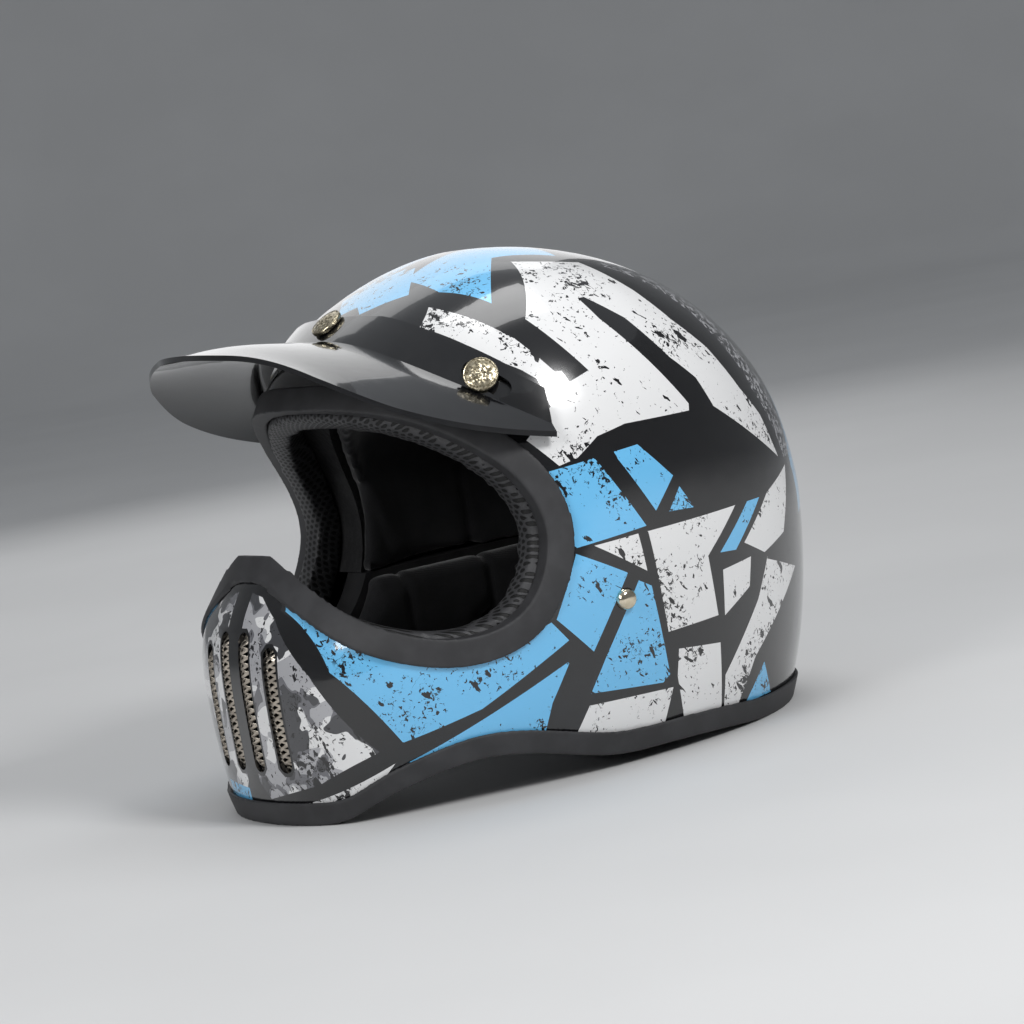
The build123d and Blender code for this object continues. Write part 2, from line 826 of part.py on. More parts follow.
with BuildPart() as buckle_frame:
    with BuildSketch(Plane.YZ.offset(buckle_inner_x)):
        with BuildLine():
            Polyline(
                (rivet_y - buckle_width / 2, buckle_top_z),
                (rivet_y + buckle_width / 2, buckle_top_z),
                (rivet_y + buckle_width / 2, buckle_top_z - buckle_depth),
                (rivet_y + inner_half, buckle_top_z - buckle_depth),
                (rivet_y + inner_half, buckle_top_z - buckle_floor),
                (rivet_y - inner_half, buckle_top_z - buckle_floor),
                (rivet_y - inner_half, buckle_top_z - buckle_depth),
                (rivet_y - buckle_width / 2, buckle_top_z - buckle_depth),
                close=True,
            )
        make_face()
    extrude(amount=buckle_length)
    wall_feet = buckle_frame.edges().filter_by(Axis.Y).group_by(Axis.Z)[0]
    fillet(wall_feet, buckle_depth / 3)
    with BuildSketch(Plane.XZ.offset(-rivet_y)):
        with Locations((pin_x, pin_z)):
            Circle(lever_pin_radius + running_gap / 5)
    extrude(amount=buckle_width, both=True, mode=Mode.SUBTRACT)
buckle_frame.part.label = "buckle_frame"

with BuildPart() as ratchet_tongue:
    tongue_start_x = strap_ends["right"] - tongue_lap
    with BuildSketch(Plane.XZ.offset(-rivet_y)):
        with BuildLine():
            tooth_points = []
            tip_x = tongue_start_x + tongue_length
            for tooth in range(tooth_count):
                tooth_x = tip_x - tooth_depth - tooth * tooth_pitch
                tooth_points.append((tooth_x, tongue_low_z))
                tooth_points.append((tooth_x - tooth_pitch / 2, tongue_low_z + tooth_depth))
            Polyline(
                (tongue_start_x, tongue_top_z),
                (tip_x, tongue_top_z),
                (tip_x, tongue_low_z + tooth_depth),
                *tooth_points,
                (tooth_points[-1][0] - tooth_pitch / 2, tongue_low_z),
                (tongue_start_x, tongue_low_z),
                close=True,
            )
        make_face()
    extrude(amount=tongue_width / 2, both=True)
    fillet(ratchet_tongue.edges().filter_by(Axis.Z).group_by(Axis.X)[-1], tongue_width / 5)
ratchet_tongue.part.label = "ratchet_tongue"

with BuildPart() as lever_pin:
    with BuildSketch(Plane.XZ.offset(-rivet_y)):
        with Locations((pin_x, pin_z)):
            Circle(lever_pin_radius)
    extrude(amount=buckle_width / 2, both=True)
lever_pin.part.label = "lever_pin"

with BuildPart() as buckle_lever:
    lever_half = inner_half - lever_side_gap
    with BuildSketch(Plane.XZ.offset(-rivet_y)):
        with Locations((pin_x - lever_length / 2, pin_z)):
            Rectangle(lever_length, lever_thickness)
        with Locations((pin_x, pin_z)):
            Circle(lever_boss_radius)
        with BuildLine():
            pawl_x = pin_x - 2 * lever_boss_radius
            Polyline(
                (pawl_x, pin_z),
                (pawl_x - pawl_length, pin_z),
                (pawl_x - tooth_pitch / 2, tongue_low_z - fit_gap),
                close=True,
            )
        make_face()
    extrude(amount=lever_half, both=True)
    with BuildSketch(Plane.XZ.offset(-rivet_y)):
        with Locations((pin_x, pin_z)):
            Circle(lever_pin_radius + running_gap)
    extrude(amount=lever_half, both=True, mode=Mode.SUBTRACT)
    spring_bay = box_between(
        (pin_x - lever_boss_radius - fit_gap, rivet_y - lever_half / 2, pin_z - lever_boss_radius),
        (pin_x + lever_boss_radius, rivet_y + lever_half / 2, pin_z + lever_boss_radius),
    )
    add(spring_bay, mode=Mode.SUBTRACT)
    fillet(buckle_lever.edges().filter_by(Axis.Z).group_by(Axis.X)[0], lever_half / 2)
buckle_lever.part.label = "buckle_lever"

with BuildPart() as lever_spring:
    with BuildSketch(Plane.XZ.offset(-rivet_y)):
        with Locations((pin_x, pin_z)):
            Circle(spring_radius)
            Circle(lever_pin_radius + spring_clearance, mode=Mode.SUBTRACT)
    extrude(amount=lever_half / 2 - fit_gap, both=True)
lever_spring.part.label = "lever_spring"

# ---------------------------------------------------------------- cheek pads
pad_top_z = eps_bottom - fit_gap
swing_clear_radius = (
    rivet_z - strap_bottom_z - strap_thickness / 2 - strap_pad_thickness - pad_strap_clearance
)
with BuildPart() as strap_sweep:
    forward = radians(swing_forward + swing_margin)
    rearward = radians(swing_rearward + swing_margin)
    reach = 2 * rivet_z
    with BuildSketch(Plane.YZ):
        with BuildLine():
            Polyline(
                (rivet_y, rivet_z),
                (rivet_y - reach * sin(forward), rivet_z - reach * cos(forward)),
                (rivet_y, rivet_z - 2 * reach),
                (rivet_y + reach * sin(rearward), rivet_z - reach * cos(rearward)),
                close=True,
            )
        make_face()
        with Locations((rivet_y, rivet_z)):
            Circle(swing_clear_radius, mode=Mode.SUBTRACT)
    extrude(amount=side_clear, both=True)


def pad_block(name, near, far, inset):
    """A slab of a cheek pad between two distances from the middle, its outline drawn in by inset."""
    side = sides[name]
    with BuildPart() as block:
        with BuildSketch(Plane(origin=(side * near, 0, 0), x_dir=(0, side, 0), z_dir=(side, 0, 0))):
            length = pad_rear_y - pad_front_y - 2 * inset
            height = pad_top_z - pad_bottom_z - 2 * inset
            centre_y = side * (pad_rear_y + pad_front_y) / 2
            with Locations((centre_y, (pad_top_z + pad_bottom_z) / 2)):
                RectangleRounded(length, height, pad_corner)
        extrude(amount=far - near)
        add(strap_sweep.part, mode=Mode.SUBTRACT)
        add(lining_block, mode=Mode.SUBTRACT)
    return block.part


plate_near = pad_outer_x + fit_gap
snap_z = (base_plate_bottom_z + pad_top_z) / 2
snap_y = (base_plate_front_y + pad_rear_y) / 2


def snap_rods(name, radius, near, far):
    """The two press snaps between a cheek pad and its base plate."""
    side = sides[name]
    with BuildPart() as rods:
        for step in (-0.5, 0.5):
            snap_origin = (side * near, snap_y, snap_z + step * snap_spacing)
            with BuildSketch(Plane(origin=snap_origin, z_dir=(side, 0, 0))):
                Circle(radius)
            extrude(amount=far - near)
    return rods.part


cheek_cores = {}
cheek_covers = {}
base_plates = {}
cheek_snaps = {}
core_near = pad_inner_x + pad_cover
for name, side in sides.items():
    with BuildPart() as cheek_cover:
        add(pad_block(name, pad_inner_x, core_near, 0))
    cheek_cover.part.label = "cheek_pad_" + name
    cheek_covers[name] = cheek_cover

    snap_root = pad_outer_x - snap_height
    with BuildPart() as cheek_core:
        add(pad_block(name, core_near, pad_outer_x, 0))
        add(snap_rods(name, snap_radius + fit_gap, snap_root, side_clear), mode=Mode.SUBTRACT)
    cheek_core.part.label = "cheek_core_" + name
    cheek_cores[name] = cheek_core

    near_x, far_x = sorted((side * plate_near, side * side_clear))
    pocket = sorted((side * (plate_near + base_plate_thickness), side * side_clear))
    rib_y = pad_rear_y - base_plate_rib
    with BuildPart() as base_plate:
        add(
            box_between(
                (near_x, base_plate_front_y, base_plate_bottom_z), (far_x, pad_rear_y, pad_top_z)
            )
        )
        add(shell_form(mesh_inset), mode=Mode.INTERSECT)
        add(
            box_between(
                (pocket[0], base_plate_front_y, base_plate_bottom_z), (pocket[1], rib_y, pad_top_z)
            ),
            mode=Mode.SUBTRACT,
        )
    base_plate.part.label = "cheek_base_" + name
    base_plates[name] = base_plate

    with BuildPart() as snaps:
        add(snap_rods(name, snap_radius, snap_root + fit_gap, plate_near))
    snaps.part.label = "cheek_snaps_" + name
    cheek_snaps[name] = snaps

# ---------------------------------------------------------------- every piece, one file each
pieces = [
    outer_shell,
    eyeport_trim,
    base_trim,
    crown_eps,
    comfort_liner,
    chin_eps,
    eyeport_lining,
    neck_roll,
    peak,
    anchor_spacers,
    strap_pad,
    buckle_frame,
    ratchet_tongue,
    lever_pin,
    buckle_lever,
    lever_spring,
]
for group in (vent_meshes, studs, caps, strap_rivets, anchor_plates, straps):
    pieces.extend(group.values())
for group in (cheek_covers, cheek_cores, base_plates, cheek_snaps):
    pieces.extend(group.values())

# the origin goes under the middle of the whole length, so every piece moves along Y by this much
front_y = min(piece.part.bounding_box().min.Y for piece in pieces)
rear_y = max(piece.part.bounding_box().max.Y for piece in pieces)
centring = -(front_y + rear_y) / 2

os.makedirs("parts", exist_ok=True)
for piece in pieces:
    with BuildPart() as placed:
        with Locations((0, centring, 0)):
            add(piece.part)
    placed.part.label = piece.part.label
    export_step(placed.part, "parts/" + placed.part.label + ".step")
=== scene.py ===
"""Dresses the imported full-face helmet: painted shell, rubber trims, peak, studs, vent mesh, padding and strap.

Every size is in millimetres until it is handed to Blender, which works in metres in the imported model's frame.
"""

from __future__ import annotations

import json
import logging
import math
from dataclasses import dataclass, field
from enum import Enum
from typing import Any, Callable, Sequence, Union

import bpy
from mathutils import Matrix, Vector
from mathutils.bvhtree import BVHTree

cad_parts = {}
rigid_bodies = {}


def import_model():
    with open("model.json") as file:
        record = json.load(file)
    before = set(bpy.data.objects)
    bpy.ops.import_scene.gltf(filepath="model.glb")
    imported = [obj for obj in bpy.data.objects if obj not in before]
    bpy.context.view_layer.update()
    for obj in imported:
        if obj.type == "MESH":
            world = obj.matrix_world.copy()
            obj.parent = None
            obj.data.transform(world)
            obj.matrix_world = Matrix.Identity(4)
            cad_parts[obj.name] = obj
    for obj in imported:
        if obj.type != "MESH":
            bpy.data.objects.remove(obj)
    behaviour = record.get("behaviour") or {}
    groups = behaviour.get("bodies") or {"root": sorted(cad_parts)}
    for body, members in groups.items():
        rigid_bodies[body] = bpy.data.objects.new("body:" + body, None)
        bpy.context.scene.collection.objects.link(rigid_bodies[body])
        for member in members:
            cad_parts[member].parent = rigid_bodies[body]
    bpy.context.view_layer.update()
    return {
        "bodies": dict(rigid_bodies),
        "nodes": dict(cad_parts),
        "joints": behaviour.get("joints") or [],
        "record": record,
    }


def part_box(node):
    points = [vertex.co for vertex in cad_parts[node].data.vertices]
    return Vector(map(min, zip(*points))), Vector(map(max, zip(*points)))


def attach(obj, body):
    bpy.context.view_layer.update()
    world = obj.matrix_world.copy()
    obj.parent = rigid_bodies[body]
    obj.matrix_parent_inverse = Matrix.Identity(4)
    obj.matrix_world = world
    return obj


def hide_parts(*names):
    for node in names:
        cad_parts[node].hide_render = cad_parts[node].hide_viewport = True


LOG = logging.getLogger("helmet")
MM = 0.001
Colour = tuple[float, float, float]
Flat = tuple[float, float]


# ---------------------------------------------------------------------------------------------- shader writing


class Wave:
    """A number that varies over a surface. Expressions on it add Math nodes."""

    def __init__(self, shader: "Shader", socket: bpy.types.NodeSocket) -> None:
        """Wraps one output socket.

        Args:
            shader: the shader that the socket belongs to.
            socket: the output socket.
        """
        self.shader = shader
        self.socket = socket

    def __add__(self, other: "Number") -> "Wave":
        """Sum."""
        return self.shader.maths("ADD", self, other)

    def __radd__(self, other: "Number") -> "Wave":
        """Sum, reflected."""
        return self.shader.maths("ADD", other, self)

    def __sub__(self, other: "Number") -> "Wave":
        """Difference."""
        return self.shader.maths("SUBTRACT", self, other)

    def __rsub__(self, other: "Number") -> "Wave":
        """Difference, reflected."""
        return self.shader.maths("SUBTRACT", other, self)

    def __mul__(self, other: "Number") -> "Wave":
        """Product."""
        return self.shader.maths("MULTIPLY", self, other)

    def __rmul__(self, other: "Number") -> "Wave":
        """Product, reflected."""
        return self.shader.maths("MULTIPLY", other, self)

    def __truediv__(self, other: "Number") -> "Wave":
        """Quotient."""
        return self.shader.maths("DIVIDE", self, other)

    def __abs__(self) -> "Wave":
        """Size without sign."""
        return self.shader.maths("ABSOLUTE", self)

    def __gt__(self, other: "Number") -> "Wave":
        """1 where this is larger, else 0."""
        return self.shader.maths("GREATER_THAN", self, other)

    def __lt__(self, other: "Number") -> "Wave":
        """1 where this is smaller, else 0."""
        return self.shader.maths("LESS_THAN", self, other)

    def sine(self) -> "Wave":
        """Its sine."""
        return self.shader.maths("SINE", self)

    def least(self, other: "Number") -> "Wave":
        """The smaller of the two."""
        return self.shader.maths("MINIMUM", self, other)

    def most(self, other: "Number") -> "Wave":
        """The larger of the two."""
        return self.shader.maths("MAXIMUM", self, other)

    def ramp(self, low: float, high: float) -> "Wave":
        """0 below low and 1 above high, smooth between them."""
        node = self.shader.node(
            "ShaderNodeMapRange",
            {"interpolation_type": "SMOOTHSTEP"},
            {"Value": self, "From Min": low, "From Max": high},
        )
        return Wave(self.shader, node.outputs["Result"])


Number = Union[Wave, float]


class Shader:
    """One material's node tree."""

    def __init__(self, name: str) -> None:
        """Starts a material with a Principled surface.

        Args:
            name: the material's name.
        """
        self.material = bpy.data.materials.new(name)
        self.material.use_nodes = True
        self.tree = self.material.node_tree
        self.surface = self.tree.nodes["Principled BSDF"]

    def node(
        self, kind: str, settings: dict[str, Any], values: dict[Any, Any] | None = None
    ) -> bpy.types.Node:
        """Adds a node.

        Args:
            kind: the node's type.
            settings: its settings, set first; "stops" gives a ramp's positions and colours.
            values: what its input sockets get: a number, a colour, a socket or a Wave.

        Returns:
            The node.
        """
        made = self.tree.nodes.new(kind)
        for key, value in settings.items():
            if key == "stops":
                points = made.color_ramp.elements
                while len(points) < len(value):
                    points.new(1.0)
                for point, (place, colour) in zip(points, value):
                    point.position = place
                    point.color = (*colour, 1.0)
            elif key == "interpolation":
                made.color_ramp.interpolation = value
            else:
                setattr(made, key, value)
        for key, value in (values or {}).items():
            self.feed(made.inputs[key], value)
        return made

    def feed(self, socket: bpy.types.NodeSocket, value: Any) -> None:
        """Links or sets one input socket.

        Args:
            socket: the input socket.
            value: a Wave, an output socket, a number or a colour.
        """
        if isinstance(value, Wave):
            self.tree.links.new(value.socket, socket)
        elif isinstance(value, bpy.types.NodeSocket):
            self.tree.links.new(value, socket)
        elif isinstance(value, tuple) and socket.type == "RGBA":
            socket.default_value = (*value, 1.0)
        else:
            socket.default_value = value

    def maths(self, operation: str, first: Number, second: Number = 0.0, third: Number = 0.0) -> Wave:
        """Adds a Math node and returns its result."""
        node = self.node(
            "ShaderNodeMath", {"operation": operation}, {0: first, 1: second, 2: third}
        )
        return Wave(self, node.outputs[0])

    def place(self) -> bpy.types.NodeSocket:
        """The point on the surface, in the model's frame."""
        return self.node("ShaderNodeTexCoord", {}).outputs["Object"]

    def outward(self, centre: tuple[float, float, float]) -> Wave:
        """1 on faces that look away from a point given in millimetres, else 0."""
        inner = tuple(c * MM for c in centre)
        away = self.node(
            "ShaderNodeVectorMath", {"operation": "SUBTRACT"}, {0: self.place(), 1: inner}
        )
        facing = self.node("ShaderNodeTexCoord", {}).outputs["Normal"]
        both = self.node(
            "ShaderNodeVectorMath", {"operation": "DOT_PRODUCT"}, {0: away.outputs[0], 1: facing}
        )
        return Wave(self, both.outputs["Value"]) > 0.0

    def axes(self) -> tuple[Wave, Wave, Wave]:
        """The point's x, y and z in millimetres."""
        scaled = self.scaled((1 / MM, 1 / MM, 1 / MM))
        node = self.node("ShaderNodeSeparateXYZ", {}, {0: scaled})
        return tuple(Wave(self, node.outputs[k]) for k in range(3))

    def scaled(self, scale: tuple[float, float, float], turn: float = 0.0) -> bpy.types.NodeSocket:
        """The point turned about X and scaled.

        Args:
            scale: one factor for each axis.
            turn: the turn about X in degrees.

        Returns:
            The vector socket.
        """
        node = self.node(
            "ShaderNodeMapping",
            {"vector_type": "TEXTURE"},
            {
                "Vector": self.place(),
                "Rotation": (math.radians(turn), 0.0, 0.0),
                "Scale": tuple(1 / s for s in scale),
            },
        )
        return node.outputs[0]

    def noise(
        self, size: float, detail: float = 2.0, rough: float = 0.5, where: Any = None, bend: float = 0.0
    ) -> Wave:
        """Soft noise from 0 to 1.

        Args:
            size: the size of its patches in millimetres.
            detail: how many finer layers it has.
            rough: how strong they are.
            where: another vector to read it at.
            bend: how far it distorts itself.

        Returns:
            The noise.
        """
        node = self.node(
            "ShaderNodeTexNoise",
            {},
            {
                "Vector": where or self.place(),
                "Scale": 1 / (size * MM),
                "Detail": detail,
                "Roughness": rough,
                "Distortion": bend,
            },
        )
        return Wave(self, node.outputs[0])

    def cells(self, size: float, feature: str = "F1", where: Any = None) -> Wave:
        """Distance in a pattern of cells.

        Args:
            size: the size of a cell in millimetres.
            feature: which distance it gives.
            where: another vector to read it at.

        Returns:
            The distance, in cells.
        """
        node = self.node(
            "ShaderNodeTexVoronoi",
            {"feature": feature},
            {"Vector": where or self.place(), "Scale": 1 / (size * MM)},
        )
        return Wave(self, node.outputs["Distance"])

    def mix(self, mask: Number, under: Any, over: Any) -> bpy.types.NodeSocket:
        """Colour over where mask is 1, and colour under where it is 0."""
        node = self.node(
            "ShaderNodeMix", {"data_type": "RGBA"}, {0: mask, 6: under, 7: over}
        )
        return node.outputs[2]

    def relief(self, height: Number, depth: float) -> None:
        """Raises the surface by height times depth.

        Args:
            height: the height, from 0 to 1.
            depth: how far 1 stands up, in millimetres.
        """
        node = self.node(
            "ShaderNodeBump", {}, {"Strength": 1.0, "Distance": depth * MM, "Height": height}
        )
        self.tree.links.new(node.outputs[0], self.surface.inputs["Normal"])

    def dress(self, **sockets: Any) -> bpy.types.Material:
        """Sets the surface's sockets and returns the material; an underscore in a key is a space."""
        for key, value in sockets.items():
            self.feed(self.surface.inputs[key.replace("_", " ")], value)
        return self.material


# --------------------------------------------------------------------------------------------------- finishes


@dataclass(frozen=True)
class Grained:
    """A moulded, foamed or plated surface with a fine grain and uneven tone."""

    name: str
    colour: Colour
    tone: Colour
    roughness: float
    metallic: float = 0.0
    coat: float = 0.0
    grain: float = 0.5
    grain_depth: float = 0.02
    patch: float = 14.0
    uneven: float = 0.12
    beads: float = 0.0

    def build(self) -> bpy.types.Material:
        """Makes the material."""
        shader = Shader(self.name)
        patches = shader.noise(self.patch, 3.0, 0.55)
        fine = shader.noise(self.grain, 3.0, 0.6)
        height: Number = fine
        if self.beads:
            height = shader.cells(self.beads).ramp(0.75, 0.2) + fine * 0.3
        shader.relief(height, self.grain_depth)
        colour = shader.mix(patches.ramp(0.35, 0.7), self.colour, self.tone)
        rough = self.roughness + (patches - 0.5) * self.uneven + (fine - 0.5) * self.uneven
        return shader.dress(
            Base_Color=colour,
            Roughness=rough.most(0.02).least(1.0),
            Metallic=self.metallic,
            Coat_Weight=self.coat,
            Coat_Roughness=0.03,
        )


@dataclass(frozen=True)
class Knit:
    """Brushed or ribbed padding cloth."""

    name: str
    colour: Colour
    tone: Colour
    stitch: float = 1.1
    depth: float = 0.12

    def build(self) -> bpy.types.Material:
        """Makes the material."""
        shader = Shader(self.name)
        x, y, z = shader.axes()
        turn = 2 * math.pi / self.stitch
        loops = ((y + z * 0.7) * turn).sine() * ((z - y * 0.7 + x * 0.6) * turn).sine()
        pile = shader.noise(0.35, 2.0, 0.7)
        wear = shader.noise(22.0, 3.0, 0.5)
        shader.relief(loops * 0.35 + pile * 0.7, self.depth)
        colour = shader.mix((wear * 0.6 + pile * 0.5).ramp(0.35, 0.8), self.colour, self.tone)
        return shader.dress(
            Base_Color=colour,
            Roughness=(0.86 + pile * 0.12).least(1.0),
            Sheen_Weight=0.35,
            Sheen_Roughness=0.4,
            Specular_IOR_Level=0.25,
        )


@dataclass(frozen=True)
class AirMesh:
    """Spacer fabric with rows of open six-sided cells, their hollows painted near-black as shade."""

    name: str = "air_mesh"
    colour: Colour = (0.045, 0.045, 0.048)
    # The next colour is painted shade: the near-black given to the open cells, darker than the fabric itself.
    painted_hole_shade: Colour = (0.0015, 0.0015, 0.0015)
    pitch: float = 3.3
    middle: float = 133.0
    oval: float = 0.7
    ring: float = 84.0

    def build(self) -> bpy.types.Material:
        """Makes the material."""
        shader = Shader(self.name)
        x, y, z = shader.axes()
        up = z - self.middle
        x = x * self.oval
        out = shader.maths("SQRT", x * x + up * up)
        turn = 2 * math.pi / self.pitch
        around = shader.maths("ARCTAN2", up, x) * (self.ring * turn)
        across = (y - out * 1.2) * (turn * math.sqrt(0.75))
        quarter = math.pi / 2
        waves = (
            (around + quarter).sine()
            + (around * 0.5 + across + quarter).sine()
            + (around * 0.5 - across + quarter).sine()
        )
        wall = waves.ramp(0.55, -0.25)
        thread = shader.noise(0.5, 2.0, 0.6)
        shader.relief(wall + thread * 0.25, 0.6)
        # Painted shade: where wall is 0, in the open cells, the colour is near-black, darker than the black
        # fabric walls.
        return shader.dress(
            Base_Color=shader.mix(wall, self.painted_hole_shade, self.colour),
            Roughness=0.6 - thread * wall * 0.2,
            Specular_IOR_Level=0.5,
        )


@dataclass(frozen=True)
class Webbing:
    """Flat woven strap: warp ribs along its length and picks across it, coloured darker in the weave's low places
    and lighter on its raised ribs as painted shade and highlight.
    """

    name: str = "strap_webbing"
    # colour is the painted shade in the weave's low places and tone the painted highlight on its raised ribs.
    colour: Colour = (0.012, 0.012, 0.013)
    tone: Colour = (0.035, 0.035, 0.037)
    rib: float = 1.5
    pick: float = 1.1

    def build(self) -> bpy.types.Material:
        """Makes the material."""
        shader = Shader(self.name)
        x, y, z = shader.axes()
        along = (abs(x) + z) * (2 * math.pi / self.pick)
        across = y * (2 * math.pi / self.rib)
        weave = across.sine() * 0.5 + (along + across * 0.5).sine() * (across * 0.5).sine() * 0.5
        fuzz = shader.noise(0.4, 2.0, 0.6)
        shader.relief(weave * 0.6 + fuzz * 0.3, 0.16)
        # Painted shade and highlight: the colour follows the weave's height, darker in its low places and lighter
        # on its raised ribs, with some random fuzz.
        colour = shader.mix((weave * 0.5 + 0.5 + fuzz * 0.2).ramp(0.2, 1.1), self.colour, self.tone)
        return shader.dress(
            Base_Color=colour, Roughness=0.72 + fuzz * 0.2, Specular_IOR_Level=0.35
        )


@dataclass(frozen=True)
class Antique:
    """Cast metal with dark hollows and rubbed high places."""

    name: str = "antique_nickel"
    bright: Colour = (0.62, 0.55, 0.40)
    dark: Colour = (0.13, 0.11, 0.07)

    def build(self) -> bpy.types.Material:
        """Makes the material."""
        shader = Shader(self.name)
        pits = shader.cells(1.1)
        cloud = shader.noise(2.2, 4.0, 0.6)
        fine = shader.noise(0.3, 2.0, 0.6)
        tarnish = (cloud * 0.8 + pits * 0.35).ramp(0.42, 0.72)
        shader.relief(pits * 0.5 + fine * 0.4, 0.06)
        return shader.dress(
            Base_Color=shader.mix(tarnish, self.dark, self.bright),
            Metallic=1.0,
            Roughness=0.46 - tarnish * 0.22,
        )


class Chart(Enum):
    """Which two distances place a painted shape on the shell."""

    SIDE = "along the length, height"
    FRONT = "from the middle, height"
    TOP = "from the middle, along the length"


@dataclass(frozen=True)
class Shape:
    """One convex painted shape, mirrored to both sides."""

    corners: Sequence[Flat]
    chart: Chart = Chart.SIDE


@dataclass(frozen=True)
class PaintedShell:
    """Gloss black lacquer with distressed blue, white and grey shapes under a clear coat."""

    name: str = "shell_lacquer"
    black: Colour = (0.004, 0.004, 0.005)
    white: Colour = (0.80, 0.80, 0.80)
    blue: Colour = (0.155, 0.52, 0.86)
    silver: Colour = (0.42, 0.42, 0.44)
    smoke: Colour = (0.15, 0.15, 0.165)
    slate: Colour = (0.055, 0.056, 0.062)
    overlap: float = 0.12
    edge: float = 0.1
    chart_shift: float = 8.255
    heart: tuple[float, float, float] = (0.0, 0.0, 120.0)
    whites: Sequence[Shape] = (
        Shape([(-43, 229), (-53, 221), (-44, 210), (-34, 199), (-25, 209), (-35, 221)]),
        Shape([(-25, 209), (-34, 199), (-29, 195)]),
        Shape([(-25, 209), (-29, 195), (-21, 186), (-12, 185)]),
        Shape([(-21, 186), (-20, 176), (-12, 185)]),
        Shape([(-12, 185), (-21, 178), (-38, 163), (-27, 149), (-18, 151), (-6, 159)]),
        Shape([(-12, 185), (-6, 159), (10, 162)]),
        Shape([(-12, 185), (10, 162), (50, 161), (51, 164), (32, 193), (1, 189)]),
        Shape([(32, 193), (20, 211), (1, 189)]),
        Shape([(6, 243), (-15, 217), (1, 189), (20, 211), (16, 222)]),
        Shape([(6, 243), (16, 222), (20, 222), (38, 237)]),
        Shape([(38, 237), (20, 222), (35, 209)]),
        Shape([(38, 237), (35, 209), (50, 187), (65, 203), (53, 220)]),
        Shape([(65, 203), (50, 187), (62, 175)]),
        Shape([(65, 203), (62, 175), (68, 160), (94, 164), (80, 187)]),
        Shape([(94, 164), (68, 160), (115, 127), (106, 149)]),
        Shape([(9, 92), (6, 110), (-17, 109)]),
        Shape([(12, 110), (20, 60), (52, 61), (47, 91)]),
        Shape([(47, 91), (69, 111), (12, 110)]),
        Shape([(25, 37), (26, 50), (53, 47), (55, 10), (30, 14)]),
        Shape([(22, 32), (-26, 34), (-35, 18), (-3, 12), (16, 10)]),
        Shape([(97, 112), (74, 92), (90, 84), (110, 90), (122, 121)]),
        Shape([(57, 82), (57, 60), (76, 70), (78, 84)]),
        Shape([(83, 62), (57, 30), (57, 12), (67, 12)]),
        Shape([(92, 80), (83, 62), (67, 12), (80, 34)]),
        Shape([(80, 34), (122, 70), (92, 80)]),
        Shape([(-144, 11), (-141, 8), (-122, 20), (-118, 26)]),
    )
    blues: Sequence[Shape] = (
        Shape([(-32, 147), (-36, 122), (-26, 110), (11, 113), (-10, 149)]),
        Shape([(0, 150), (18, 119), (31, 133), (14, 151)]),
        Shape([(26, 117), (41, 116), (34, 127)]),
        Shape([(79, 111), (56, 91), (67, 90), (89, 111)]),
        Shape([(74, 12), (96, 12), (88, 29)]),
        Shape([(-27, 107), (-41, 79), (-23, 60), (-2, 93)]),
        Shape([(4, 88), (-16, 56), (-25, 40), (16, 36), (20, 39), (11, 84)]),
        Shape([(-138, 110), (-135, 73), (-114, 36), (-80, 45), (-115, 90)]),
        Shape([(-80, 45), (-36, 68), (-44, 78), (-70, 70)]),
        Shape([(-80, 45), (-70, 70), (-115, 90)]),
        Shape([(-112, 26), (-97, 26), (-76, 30), (-46, 40), (-36, 58)]),
        Shape([(-76, 30), (-50, 26), (-46, 40)]),
        Shape([(8, 1), (41, 4), (76, -23), (48, -33), (14, -30)], Chart.TOP),
        Shape([(8, 1), (8, 12), (30, 34), (54, 32), (43, 3)], Chart.TOP),
        Shape([(-1, -24), (4, -17), (31, -40), (10, -56), (-1, -50)], Chart.TOP),
    )
    stripes: Sequence[Shape] = (
        Shape([(54, 236), (65, 234), (76, 215), (62, 216)], Chart.FRONT),
        Shape([(62, 216), (76, 215), (88, 190), (76, 188)], Chart.FRONT),
        Shape([(76, 188), (88, 190), (94, 162), (80, 160)], Chart.FRONT),
        Shape([(80, 160), (94, 162), (89, 125), (72, 125)], Chart.FRONT),
    )
    rear_blues: Sequence[Shape] = (
        Shape([(40, 165), (70, 160), (82, 120), (79, 95), (60, 100)], Chart.FRONT),
        Shape([(6, 150), (32, 158), (52, 98), (24, 88)], Chart.FRONT),
    )
    camouflage: Sequence[Shape] = (
        Shape([(7, 110), (16, 108), (30, 98), (52, 72), (74, 33), (46, 20), (12, 13), (6, 21)],
              Chart.FRONT),
    )

    bare: Sequence[Shape] = (
        Shape([(-1, 8), (96, 8), (86, 34), (66, 73), (34, 103), (26, 125), (-1, 125)], Chart.FRONT),
    )
    chin: Sequence[Shape] = (
        Shape([(7, 17), (33, 19), (35, 10), (8, 8)], Chart.FRONT),
    )
    slots: Sequence[Shape] = (
        Shape([(3.6, 28), (7, 24.4), (11, 24.4), (14.4, 28), (14.4, 91), (11, 94.6), (3.6, 94.6)], Chart.FRONT),
        Shape([(23.6, 28), (27, 24.4), (31, 24.4), (34.4, 28), (34.4, 84), (31, 87.6), (27, 87.6), (23.6, 84)],
              Chart.FRONT),
    )

